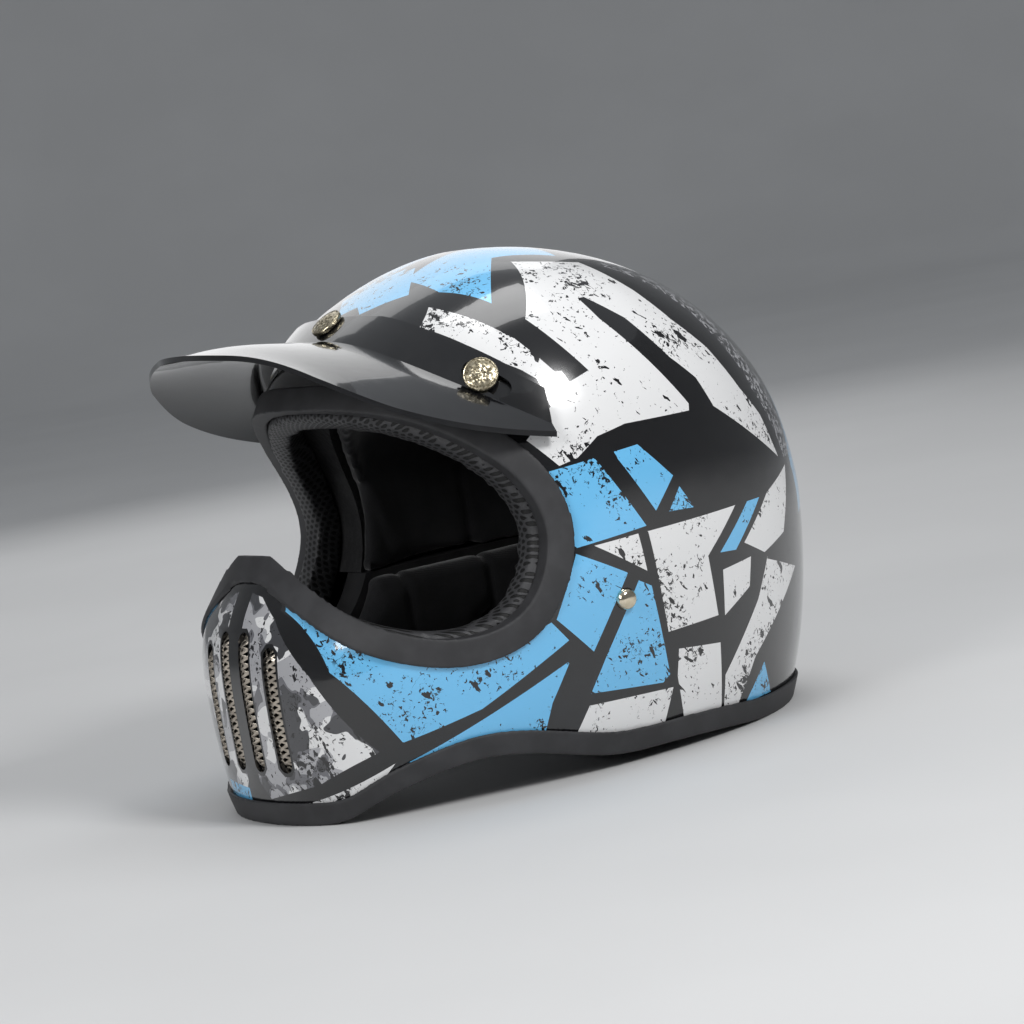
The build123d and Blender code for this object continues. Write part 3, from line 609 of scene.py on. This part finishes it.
    def reach(self, shader: Shader, shape: Shape, axes: Sequence[Wave]) -> Wave:
        """How deep a point is inside a shape.

        Args:
            shader: the shader being written.
            shape: the painted shape.
            axes: distance from the middle, along the length, and height.

        Returns:
            The distance to its nearest edge in millimetres, negative outside.
        """
        across, along, height = axes
        pairs = {
            Chart.SIDE: (along, height),
            Chart.FRONT: (across, height),
            Chart.TOP: (across, along),
        }
        first, second = pairs[shape.chart]
        count = len(shape.corners)
        area = sum(
            a[0] * b[1] - b[0] * a[1]
            for a, b in zip(shape.corners, [*shape.corners[1:], shape.corners[0]])
        )
        turn = 1.0 if area > 0 else -1.0
        depth: Wave | None = None
        for k in range(count):
            a, b = shape.corners[k], shape.corners[(k + 1) % count]
            length = math.dist(a, b)
            normal = (-(b[1] - a[1]) * turn / length, (b[0] - a[0]) * turn / length)
            offset = -(normal[0] * a[0] + normal[1] * a[1])
            part = shader.maths("MULTIPLY_ADD", first, normal[0], offset)
            side = shader.maths("MULTIPLY_ADD", second, normal[1], part)
            depth = side if depth is None else depth.least(side)
        return depth

    def cover(self, shader: Shader, shapes: Sequence[Shape], axes: Sequence[Wave]) -> Wave:
        """1 inside any of the shapes, else 0."""
        whole: Wave | None = None
        for shape in shapes:
            one = self.reach(shader, shape, axes)
            whole = one if whole is None else whole.most(one)
        return whole.ramp(-self.overlap - self.edge, -self.overlap)

    def chips(self, shader: Shader) -> Wave:
        """1 where the colour has flaked off to the black under it."""
        crowd = shader.noise(26.0, 2.0, 0.5)
        flakes = shader.noise(2.4, 4.0, 0.62, bend=0.6)
        long_way = shader.noise(5.0, 3.0, 0.6, shader.scaled((1.0, 1.0, 0.35), 38.0), 0.4)
        cracks = abs(shader.noise(9.0, 2.0, 0.5, shader.scaled((1.0, 0.8, 1.0), 12.0), 0.8) - 0.5)
        spots = (flakes + (crowd - 0.5) * 0.5).ramp(0.625, 0.640)
        streaks = (long_way + (crowd - 0.5) * 0.4).ramp(0.645, 0.655)
        lines = (0.0035 - cracks).ramp(0.0, 0.0015) * crowd.ramp(0.55, 0.62)
        return spots.most(streaks).most(lines)

    def build(self) -> bpy.types.Material:
        """Makes the material."""
        shader = Shader(self.name)
        x, y, z = shader.axes()
        axes = (abs(x), y + self.chart_shift, z)
        chips = self.chips(shader)
        front = y < -60.0
        rear = y > 20.0
        high = z > 215.0
        white = self.cover(shader, self.whites, axes)
        low_blue = self.cover(shader, [s for s in self.blues if s.chart is Chart.SIDE], axes)
        top_blue = self.cover(shader, [s for s in self.blues if s.chart is Chart.TOP], axes) * high
        stripe = self.cover(shader, self.stripes, axes) * rear
        rear_blue = self.cover(shader, self.rear_blues, axes) * (y > 60.0)
        slots = self.cover(shader, self.slots, axes)
        bare = self.cover(shader, self.bare, axes) * front
        chin = self.cover(shader, self.chin, axes) * front * (x < 0.0)
        camo = self.cover(shader, self.camouflage, axes) * front * (1.0 - slots.most(chin))
        whole = (1.0 - chips) * shader.outward(self.heart)
        light = shader.noise(17.0, 1.5, 0.5, shader.scaled((0.6, 1.0, 1.1), 25.0), 0.5)
        dark = shader.noise(15.0, 1.5, 0.5, shader.scaled((1.1, 1.0, 0.7), 62.0), 0.5)
        cloud = shader.mix(light.ramp(0.500, 0.506), self.silver, self.white)
        cloud = shader.mix(dark.ramp(0.535, 0.541), cloud, self.smoke)
        cloud = shader.mix((dark + light * 0.5).ramp(0.825, 0.832), cloud, self.slate)
        colour = shader.mix(camo * whole, self.black, cloud)
        colour = shader.mix(white * whole * (1.0 - camo), colour, self.white)
        blue = (low_blue * (1.0 - bare)).most(top_blue).most(chin).most(rear_blue)
        colour = shader.mix(blue * whole, colour, self.blue)
        rubbed = shader.noise(3.0, 4.0, 0.7).ramp(0.5, 0.56)
        colour = shader.mix(stripe * rubbed * whole, colour, self.silver)
        haze = shader.noise(60.0, 3.0, 0.5)
        shader.relief(shader.noise(7.0, 1.0, 0.5), 0.012)
        return shader.dress(
            Base_Color=colour,
            Roughness=0.16 + haze * 0.06,
            Coat_Weight=1.0,
            Coat_Roughness=0.015,
        )


# ---------------------------------------------------------------------------------------------------- joinery


class Bench:
    """Mesh work that every sub-assembly shares."""

    thin = 0.35

    def __init__(self, frame: dict[str, Any]) -> None:
        """Keeps the frame.
        """
        self.frame = frame
        self.scene = bpy.context.scene

    def add(self, name: str, verts: Sequence[Any], faces: Sequence[Sequence[int]]) -> bpy.types.Object:
        """Makes a mesh object, smooth shaded."""
        mesh = bpy.data.meshes.new(name)
        mesh.from_pydata([tuple(v) for v in verts], [], faces)
        mesh.validate()
        mesh.shade_smooth()
        made = bpy.data.objects.new(name, mesh)
        self.scene.collection.objects.link(made)
        return made

    def copy(self, node: str, name: str) -> bpy.types.Object:
        """A free copy of a CAD node's mesh."""
        mesh = self.frame["nodes"][node].data.copy()
        mesh.materials.clear()
        made = bpy.data.objects.new(name, mesh)
        self.scene.collection.objects.link(made)
        return made

    def bake(self, piece: bpy.types.Object) -> None:
        """Turns a piece's modifiers into plain mesh."""
        graph = bpy.context.evaluated_depsgraph_get()
        graph.update()
        mesh = bpy.data.meshes.new_from_object(piece.evaluated_get(graph))
        piece.modifiers.clear()
        piece.data = mesh

    def shape(self, piece: bpy.types.Object, kind: str, **settings: Any) -> None:
        """Adds one modifier and bakes it."""
        modifier = piece.modifiers.new(kind.title(), kind)
        for key, value in settings.items():
            setattr(modifier, key, value)
        self.bake(piece)

    def rounded(self, node: str, name: str, voxel: float, passes: int) -> bpy.types.Object:
        """A copy of a CAD node remeshed evenly with its edges rubbed round.

        Args:
            node: the CAD node.
            name: the piece's name.
            voxel: the mesh size in millimetres.
            passes: how many times it is smoothed.

        Returns:
            The piece.
        """
        piece = self.copy(node, name)
        self.shape(piece, "REMESH", mode="VOXEL", voxel_size=voxel * MM, use_smooth_shade=True)
        self.shape(piece, "SMOOTH", factor=0.5, iterations=passes)
        self.shape(piece, "DECIMATE", ratio=self.thin)
        piece.data.shade_smooth()
        return piece

    def inflate(self, piece: bpy.types.Object, cap: float, pressure: float = 4.0) -> None:
        """Lets cloth pressure round a pad out, no point going further than cap.

        Args:
            piece: the pad.
            cap: the furthest a point may move, in millimetres.
            pressure: the cloth's pressure.
        """
        rest = [v.co.copy() for v in piece.data.vertices]
        cloth = piece.modifiers.new("Cloth", "CLOTH")
        cloth.settings.use_pressure = True
        cloth.settings.uniform_pressure_force = pressure
        cloth.settings.effector_weights.gravity = 0.0
        cloth.settings.quality = 4
        cloth.point_cache.frame_start = 1
        cloth.point_cache.frame_end = 20
        self.scene.frame_start, self.scene.frame_end = 1, 20
        for step in range(1, 21):
            self.scene.frame_set(step)
        graph = bpy.context.evaluated_depsgraph_get()
        blown = [v.co.copy() for v in piece.evaluated_get(graph).data.vertices]
        piece.modifiers.clear()
        self.scene.frame_set(1)
        for vertex, start, end in zip(piece.data.vertices, rest, blown):
            move = end - start
            if move.length > cap * MM:
                move = move.normalized() * cap * MM
            vertex.co = start + move
        piece.data.update()

    def groove(self, piece: bpy.types.Object, gap: Callable[[Vector], float], depth: float, width: float) -> None:
        """Presses a sewn channel into a pad.

        Args:
            piece: the pad.
            gap: how far a point is from the seam, in millimetres.
            depth: how deep the seam sinks, in millimetres.
            width: how wide the hollow is, in millimetres.
        """
        piece.data.update()
        moves = [
            v.normal * (-depth * MM * math.exp(-((gap(v.co / MM) / width) ** 2)))
            for v in piece.data.vertices
        ]
        for vertex, move in zip(piece.data.vertices, moves):
            vertex.co += move
        piece.data.update()

    def finish(
        self, piece: bpy.types.Object, body: str, slot: str, look: bpy.types.Material, *nodes: str
    ) -> bpy.types.Object:
        """Dresses a piece, hangs it on its body and hides the nodes it stands for."""
        piece.data.materials.clear()
        piece.data.materials.append(look)
        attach(piece, body)
        if nodes:
            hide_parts(*nodes)
        LOG.info("%s on %s, %d faces", piece.name, body, len(piece.data.polygons))
        return piece

    def dress(self, look: bpy.types.Material, *nodes: str) -> None:
        """Gives CAD nodes that stay in view their finish."""
        for node in nodes:
            kept = self.frame["nodes"][node]
            kept.data.materials.clear()
            kept.data.materials.append(look)
            LOG.info("%s dressed in %s", node, look.name)


# ------------------------------------------------------------------------------------------------ sub-assemblies


@dataclass
class ShellAndTrims:
    """The painted shell, its two rubber trims and the foam inside it."""

    trim_mesh: float = 0.8
    trim_passes: int = 6

    def build(self, bench: Bench, looks: dict[str, bpy.types.Material]) -> None:
        """Makes and dresses the pieces."""
        bench.dress(looks["paint"], "outer_shell")
        bench.dress(looks["foam"], "crown_eps", "chin_eps")
        for node in ("eyeport_trim", "base_trim"):
            trim = bench.rounded(node, node + "_rubber", self.trim_mesh, self.trim_passes)
            bench.finish(trim, "helmet", "rubber_trim", looks["rubber"], node)


@dataclass
class VentMesh:
    """Expanded metal behind the chin slots, pressed forward into each of them."""

    cell_width: float = 4.6
    cell_height: float = 3.6
    strand: float = 0.7
    sheet: float = 0.55
    lean: float = 0.45
    bulge: float = 5.2
    bulge_half_width: float = 2.9
    slot_x: tuple[float, float] = (9.0, 29.0)
    low_z: float = 26.0
    high_z: tuple[float, float] = (93.0, 86.0)

    def front(self, tree: BVHTree, x: float, z: float) -> Vector | None:
        """The mesh's front surface at a place, bulged where a slot is.

        Args:
            tree: the CAD mesh plate.
            x: distance across, in millimetres.
            z: height, in millimetres.

        Returns:
            The point in metres, or None beyond the plate.
        """
        hit = tree.ray_cast(Vector((x * MM, -0.3, z * MM)), Vector((0, 1, 0)))[0]
        if hit is None:
            return None
        push = 0.0
        for middle, top in zip(self.slot_x, self.high_z):
            fade = min(max((z - self.low_z) / 6.0, 0.0), max((top - z) / 6.0, 0.0), 1.0)
            push += fade * math.exp(-(((abs(x) - middle) / self.bulge_half_width) ** 2))
        return hit - Vector((0, push * self.bulge * MM, 0))

    def side(self, bench: Bench, node: str, looks: dict[str, bpy.types.Material]) -> None:
        """Builds the lattice that stands for one plate.

        Args:
            bench: the shared mesh work.
            node: the CAD plate.
            looks: the finishes by name.
        """
        source = bench.frame["nodes"][node].data
        tree = BVHTree.FromPolygons(
            [v.co for v in source.vertices], [tuple(p.vertices) for p in source.polygons]
        )
        low, high = (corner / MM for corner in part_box(node))
        verts: list[Vector] = []
        faces: list[tuple[int, ...]] = []
        half_w, half_h = self.cell_width / 2, self.cell_height / 2
        rows = int((high.z - low.z) / half_h)
        columns = int((high.x - low.x) / self.cell_width) + 1
        for row in range(rows):
            z = low.z + (row + 0.5) * half_h
            for column in range(columns):
                x = low.x + (column + 0.5 * (row % 2)) * self.cell_width
                ring = []
                for scale in (1.0, 1.0 - self.strand / half_h):
                    for dx, dz in ((half_w, 0), (0, half_h), (-half_w, 0), (0, -half_h)):
                        point = self.front(tree, x + dx * scale, z + dz * scale)
                        lean = 0.0 if scale == 1.0 else self.lean * MM * (1 if dz > 0 else -1)
                        ring.append(point and point + Vector((0, lean, 0)))
                if any(point is None for point in ring):
                    continue
                start = len(verts)
                verts.extend(ring)
                for k in range(4):
                    n = (k + 1) % 4
                    faces.append((start + k, start + n, start + 4 + n, start + 4 + k))
        lattice = bench.add(node + "_lattice", verts, faces)
        bench.shape(lattice, "WELD", merge_threshold=0.05 * MM)
        bench.shape(lattice, "SOLIDIFY", thickness=self.sheet * MM, offset=0.0)
        bench.finish(lattice, "helmet", "vent_metal", looks["mesh_metal"], node)

    def build(self, bench: Bench, looks: dict[str, bpy.types.Material]) -> None:
        """Makes both sides."""
        for node in ("vent_mesh_left", "vent_mesh_right"):
            self.side(bench, node, looks)


@dataclass
class Peak:
    """The press-stud peak with its three embossed caps and the studs they snap over."""

    round_edge: float = 0.8
    cap_radius: float = 8.4
    cap_base: float = 3.95
    cap_height: float = 3.4
    rim_height: float = 1.5
    socket_outer: float = 4.4
    socket_inner: float = 3.6
    socket_floor: float = 0.9
    petals: int = 8
    emboss: float = 0.32
    spokes: int = 96
    normals: dict[str, tuple[float, float, float]] = field(
        default_factory=lambda: {
            "left": (0.7455, -0.4953, 0.4460),
            "right": (-0.7455, -0.4953, 0.4460),
            "centre": (0.0, -0.5587, 0.8294),
        }
    )

    def profile(self) -> list[tuple[float, float, float]]:
        """The cap's outline from the top's middle round to inside its socket.

        Returns:
            Radius, height, and how much of the embossing each ring takes.
        """
        rings = [(0.001, self.cap_height, 0.0)]
        for k in range(1, 15):
            share = k / 14
            radius = (self.cap_radius - 1.1) * share
            height = self.cap_height - 1.0 * share**2
            rings.append((radius, height, math.sin(math.pi * min(share * 1.15, 1.0))))
        edge = self.cap_radius
        rings += [
            (edge - 0.9, 1.95, 0.0),
            (edge - 0.6, 2.45, 0.0),
            (edge - 0.25, 2.35, 0.0),
            (edge, self.rim_height, 0.0),
            (edge - 0.05, 0.5, 0.0),
            (edge - 0.5, 0.0, 0.0),
            (self.socket_outer, 0.0, 0.0),
            (self.socket_outer, self.socket_floor - self.cap_base, 0.0),
            (self.socket_inner, self.socket_floor - self.cap_base, 0.0),
            (self.socket_inner, 0.0, 0.0),
            (0.001, 0.0, 0.0),
        ]
        return rings

    def cap(self, bench: Bench, side: str, looks: dict[str, bpy.types.Material]) -> None:
        """Builds one cap over its CAD node."""
        node = "peak_cap_" + side
        normal = Vector(self.normals[side]).normalized()
        verts = [v.co for v in bench.frame["nodes"][node].data.vertices]
        top = max(verts, key=lambda v: v.dot(normal))
        level = top.dot(normal)
        near = [v for v in verts if level - v.dot(normal) < 0.02 * MM]
        top = sum(near, Vector()) / len(near)
        seat = top - normal * self.cap_height * MM
        turn = normal.to_track_quat("Z", "Y").to_matrix().to_4x4()
        place = Matrix.Translation(seat) @ turn
        points, faces = [], []
        rings = self.profile()
        for radius, height, share in rings:
            for k in range(self.spokes):
                angle = 2 * math.pi * k / self.spokes
                petal = math.cos(self.petals * angle) * 0.5 + math.cos(3 * radius) * 0.35
                raised = height + self.emboss * share * petal
                points.append(
                    place
                    @ Vector((radius * math.cos(angle) * MM, radius * math.sin(angle) * MM, raised * MM))
                )
        for r in range(len(rings) - 1):
            for k in range(self.spokes):
                n = (k + 1) % self.spokes
                a, b = r * self.spokes, (r + 1) * self.spokes
                faces.append((a + k, b + k, b + n, a + n))
        piece = bench.add(node + "_embossed", points, faces)
        bench.shape(piece, "WELD", merge_threshold=0.01 * MM)
        bench.finish(piece, "peak", "cap_metal", looks["antique"], node)

    def build(self, bench: Bench, looks: dict[str, bpy.types.Material]) -> None:
        """Makes the peak, its caps and the studs' looks."""
        peak = bench.copy("peak", "peak_visor")
        bench.shape(
            peak,
            "BEVEL",
            width=self.round_edge * MM,
            segments=3,
            limit_method="ANGLE",
            angle_limit=math.radians(50),
        )
        bench.finish(peak, "peak", "peak_black", looks["black"], "peak")
        for side in ("left", "right", "centre"):
            self.cap(bench, side, looks)
            bench.dress(looks["nickel"], "peak_stud_" + side)


@dataclass
class Padding:
    """Everything soft inside: liner, eyeport lining, cheek pads and neck roll."""

    voxel: float = 4.0

    def soft(
        self,
        bench: Bench,
        node: str,
        body: str,
        look: bpy.types.Material,
        slot: str,
        cap: float,
        seams: Sequence[Callable[[Vector], float]] = (),
        voxel: float | None = None,
    ) -> bpy.types.Object:
        """One padded piece in the space of its CAD node.

        Args:
            bench: the shared mesh work.
            node: the CAD node it stands for.
            body: the body it rides on.
            look: its finish.
            slot: its material slot's name; not used.
            cap: how far the cloth may swell, in millimetres.
            seams: distance functions of its sewn channels.
            voxel: the mesh size in millimetres, where it differs.

        Returns:
            The piece.
        """
        size = voxel or self.voxel
        pad = bench.copy(node, node + "_padded")
        bench.shape(pad, "REMESH", mode="VOXEL", voxel_size=size * MM, use_smooth_shade=True)
        bench.shape(pad, "SMOOTH", factor=0.5, iterations=2)
        bench.inflate(pad, cap)
        bench.shape(pad, "SUBSURF", levels=1)
        for seam in seams:
            bench.groove(pad, seam, 1.6, 2.4)
        pad.data.shade_smooth()
        bench.finish(pad, body, slot, look, node)
        return pad

    def build(self, bench: Bench, looks: dict[str, bpy.types.Material]) -> None:
        """Makes every soft piece."""
        cloth, mesh = looks["cloth"], looks["air_mesh"]
        crown = [lambda p: abs(p.x) - 26.0, lambda p: p.y - 30.0]
        self.soft(bench, "comfort_liner", "helmet", cloth, "comfort_fabric", 2.0, crown)
        self.soft(bench, "eyeport_lining", "helmet", mesh, "lining_mesh", 2.4, voxel=3.0)
        roll = [lambda p: abs(p.x) - 40.0]
        self.soft(bench, "neck_roll", "helmet", cloth, "comfort_fabric", 2.0, roll, 3.0)
        for side in ("left", "right"):
            cheek = [lambda p: p.y + 24.0, lambda p: p.y - 26.0]
            self.soft(
                bench, "cheek_pad_" + side, "cheek_" + side, cloth, "comfort_fabric", 4.0, cheek, 3.2
            )
            bench.dress(looks["plastic"], "cheek_core_" + side, "cheek_base_" + side)
            bench.dress(looks["zinc"], "cheek_snaps_" + side)


@dataclass
class ChinStrap:
    """The strap with its anchors, ratchet buckle, pad and stitching."""

    edge: float = 0.7
    stitch: float = 2.6
    gap: float = 1.4
    thread: float = 0.32

    def stitches(
        self, bench: Bench, name: str, line: Sequence[Vector], body: str, look: bpy.types.Material, slot: str
    ) -> None:
        """A row of thread along a line of points.

        Args:
            bench: the shared mesh work.
            name: the piece's name.
            line: the row's corner points, in millimetres.
            body: the body it rides on.
            look: its finish.
            slot: its material slot's name; not used.
        """
        verts: list[Vector] = []
        faces: list[tuple[int, ...]] = []
        for start, end in zip(line, line[1:]):
            run = end - start
            count = max(int(run.length / (self.stitch + self.gap)), 1)
            way = run.normalized()
            side = way.cross(Vector((0, 0, 1)))
            side = side.normalized() if side.length > 0.01 else Vector((0, 1, 0))
            up = side.cross(way)
            for k in range(count):
                middle = start + run * ((k + 0.5) / count)
                base = len(verts)
                for step in range(5):
                    reach = (step / 4 - 0.5) * self.stitch
                    swell = self.thread * math.sqrt(max(1.0 - (2 * step / 4 - 1) ** 2, 0.06))
                    for turn in range(6):
                        angle = math.pi * turn / 3
                        verts.append(
                            (
                                middle
                                + way * reach
                                + (side * math.cos(angle) + up * math.sin(angle)) * swell
                            )
                            * MM
                        )
                for step in range(4):
                    for turn in range(6):
                        a, b = base + step * 6, base + step * 6 + 6
                        n = (turn + 1) % 6
                        faces.append((a + turn, a + n, b + n, b + turn))
                faces.append(tuple(base + k for k in range(5, -1, -1)))
                faces.append(tuple(base + 24 + k for k in range(6)))
        row = bench.add(name, verts, faces)
        bench.finish(row, body, slot, look)

    def build(self, bench: Bench, looks: dict[str, bpy.types.Material]) -> None:
        """Makes the strap's pieces."""
        for side in ("left", "right"):
            web = bench.copy("strap_" + side, "strap_webbing_" + side)
            bench.shape(
                web,
                "BEVEL",
                width=self.edge * MM,
                segments=3,
                limit_method="ANGLE",
                angle_limit=math.radians(50),
            )
            bench.finish(web, "chin_strap", "webbing", looks["webbing"], "strap_" + side)
            bench.dress(looks["zinc"], "anchor_plate_" + side)
            bench.dress(looks["nickel"], "strap_rivet_" + side)
        pad = bench.rounded("strap_pad", "strap_pad_padded", 1.6, 3)
        bench.inflate(pad, 1.2)
        bench.finish(pad, "chin_strap", "comfort_fabric", looks["cloth"], "strap_pad")
        low, high = (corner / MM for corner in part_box("strap_pad"))
        inset = 3.5
        top = high.z + 0.6
        ring = [
            Vector((low.x + inset, low.y + inset, top)),
            Vector((high.x - inset, low.y + inset, top)),
            Vector((high.x - inset, high.y - inset, top)),
            Vector((low.x + inset, high.y - inset, top)),
            Vector((low.x + inset, low.y + inset, top)),
        ]
        self.stitches(bench, "strap_pad_thread", ring, "chin_strap", looks["thread"], "webbing")
        bench.dress(looks["zinc"], "anchor_spacers", "lever_pin", "lever_spring")
        bench.dress(looks["plated"], "buckle_frame", "buckle_lever")
        bench.dress(looks["plastic"], "ratchet_tongue")


@dataclass
class Studio:
    """Pale floor that sweeps up into a wall, soft lights and the camera."""

    floor_radius: float = 3.6
    sweep: float = 1.4
    wall: float = 2.6
    lens: float = 120.0
    eye: tuple[float, float, float] = (1.4308, -0.9018, 0.3002)
    right: tuple[float, float, float] = (0.5446, 0.8224, -0.1643)
    upward: tuple[float, float, float] = (0.0, 0.19595, 0.98061)
    spokes: int = 96

    def light(self, name: str, place: Sequence[float], size: float, power: float, aim: Sequence[float]) -> None:
        """One square soft light.

        Args:
            name: its name.
            place: where it stands, in metres.
            size: its side, in metres.
            power: its power in watts.
            aim: the point it faces, in metres.
        """
        data = bpy.data.lights.new(name, "AREA")
        data.shape = "SQUARE"
        data.size = size
        data.energy = power
        lamp = bpy.data.objects.new(name, data)
        lamp.location = place
        way = Vector(place) - Vector(aim)
        lamp.rotation_mode = "QUATERNION"
        lamp.rotation_quaternion = way.to_track_quat("Z", "Y")
        bpy.context.scene.collection.objects.link(lamp)

    def build(self, bench: Bench, looks: dict[str, bpy.types.Material]) -> None:
        """Sets the floor, lights, world and camera."""
        profile = [(0.0, 0.0), (0.5, 0.0), (1.5, 0.0), (self.floor_radius, 0.0)]
        for k in range(1, 13):
            angle = math.pi / 2 * k / 12
            profile.append(
                (
                    self.floor_radius + self.sweep * math.sin(angle),
                    self.sweep * (1 - math.cos(angle)),
                )
            )
        profile.append((self.floor_radius + self.sweep, self.sweep + self.wall))
        verts, faces = [], []
        for radius, height in profile:
            for k in range(self.spokes):
                angle = 2 * math.pi * k / self.spokes
                verts.append((radius * math.cos(angle), radius * math.sin(angle), height))
        for r in range(len(profile) - 1):
            for k in range(self.spokes):
                n = (k + 1) % self.spokes
                a, b = r * self.spokes, (r + 1) * self.spokes
                faces.append((a + k, a + n, b + n, b + k))
        floor = bench.add("studio_floor", verts, faces)
        floor.data.materials.append(looks["backdrop"])
        self.light("key_light", (1.25, 0.10, 1.05), 0.35, 13.0, (0.0, 0.0, 0.13))
        self.light("front_light", (0.55, -1.6, 0.9), 0.6, 10.0, (0.0, -0.05, 0.1))
        self.light("far_light", (-1.3, 0.5, 0.9), 1.3, 4.5, (0.0, 0.0, 0.15))
        self.light("top_light", (0.0, 0.2, 1.7), 0.8, 7.0, (0.0, 0.0, 0.1))
        world = bpy.data.worlds.new("studio_air")
        world.use_nodes = True
        back = world.node_tree.nodes["Background"]
        back.inputs[0].default_value = (0.86, 0.90, 0.95, 1.0)
        back.inputs[1].default_value = 0.38
        bench.scene.world = world
        bench.scene.view_settings.view_transform = "Standard"
        data = bpy.data.cameras.new("camera")
        data.lens = self.lens
        data.sensor_width = 36.0
        data.clip_start, data.clip_end = 0.05, 30.0
        camera = bpy.data.objects.new("camera", data)
        right, upward = Vector(self.right).normalized(), Vector(self.upward).normalized()
        back_way = right.cross(upward).normalized()
        upward = back_way.cross(right).normalized()
        camera.matrix_world = Matrix.Translation(self.eye) @ Matrix(
            (right, upward, back_way)
        ).transposed().to_4x4()
        bench.scene.collection.objects.link(camera)
        bench.scene.camera = camera


def finishes() -> dict[str, bpy.types.Material]:
    """Every finish by name."""
    return {
        "paint": PaintedShell().build(),
        "black": Grained(
            "peak_gloss", (0.004, 0.004, 0.005), (0.007, 0.007, 0.008), 0.14, coat=1.0, grain=6.0,
            grain_depth=0.01, uneven=0.05,
        ).build(),
        "rubber": Grained(
            "trim_rubber", (0.026, 0.026, 0.028), (0.038, 0.038, 0.041), 0.6, grain=0.45, grain_depth=0.03
        ).build(),
        "foam": Grained(
            "bead_foam", (0.010, 0.010, 0.011), (0.018, 0.018, 0.019), 0.8, grain=0.6, grain_depth=0.25,
            beads=3.4,
        ).build(),
        "cloth": Knit("comfort_cloth", (0.010, 0.010, 0.011), (0.026, 0.026, 0.028)).build(),
        "air_mesh": AirMesh().build(),
        "mesh_metal": Grained(
            "expanded_nickel", (0.60, 0.54, 0.46), (0.38, 0.34, 0.29), 0.30, metallic=1.0, grain=0.7,
            patch=5.0,
        ).build(),
        "nickel": Grained(
            "polished_nickel", (0.80, 0.72, 0.56), (0.66, 0.58, 0.43), 0.14, metallic=1.0, grain=0.8,
            grain_depth=0.006, patch=4.0,
        ).build(),
        "antique": Antique().build(),
        "zinc": Grained(
            "zinc_plate", (0.56, 0.56, 0.57), (0.42, 0.43, 0.45), 0.38, metallic=1.0, grain=0.6, patch=6.0
        ).build(),
        "plated": Grained(
            "buckle_plate", (0.62, 0.62, 0.64), (0.48, 0.48, 0.50), 0.22, metallic=1.0, grain=1.4,
            grain_depth=0.008, patch=9.0,
        ).build(),
        "plastic": Grained(
            "moulded_plastic", (0.016, 0.016, 0.017), (0.024, 0.024, 0.025), 0.5, grain=0.35,
            grain_depth=0.04,
        ).build(),
        "webbing": Webbing().build(),
        "thread": Grained(
            "sewing_thread", (0.05, 0.05, 0.053), (0.08, 0.08, 0.083), 0.6, grain=0.3, grain_depth=0.05
        ).build(),
        "backdrop": Grained(
            "backdrop_paper", (0.60, 0.60, 0.60), (0.63, 0.63, 0.63), 0.85, grain=4.0, grain_depth=0.02,
            patch=400.0, uneven=0.05,
        ).build(),
    }


def main() -> None:
    """Builds the helmet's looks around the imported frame."""
    logging.basicConfig(level=logging.INFO, format="%(name)s: %(message)s")
    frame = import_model()
    bench = Bench(frame)
    looks = finishes()
    for assembly in (Studio(), ShellAndTrims(), VentMesh(), Peak(), Padding(), ChinStrap()):
        assembly.build(bench, looks)
        LOG.info("%s built", type(assembly).__name__)


if __name__ == "__main__":
    main()
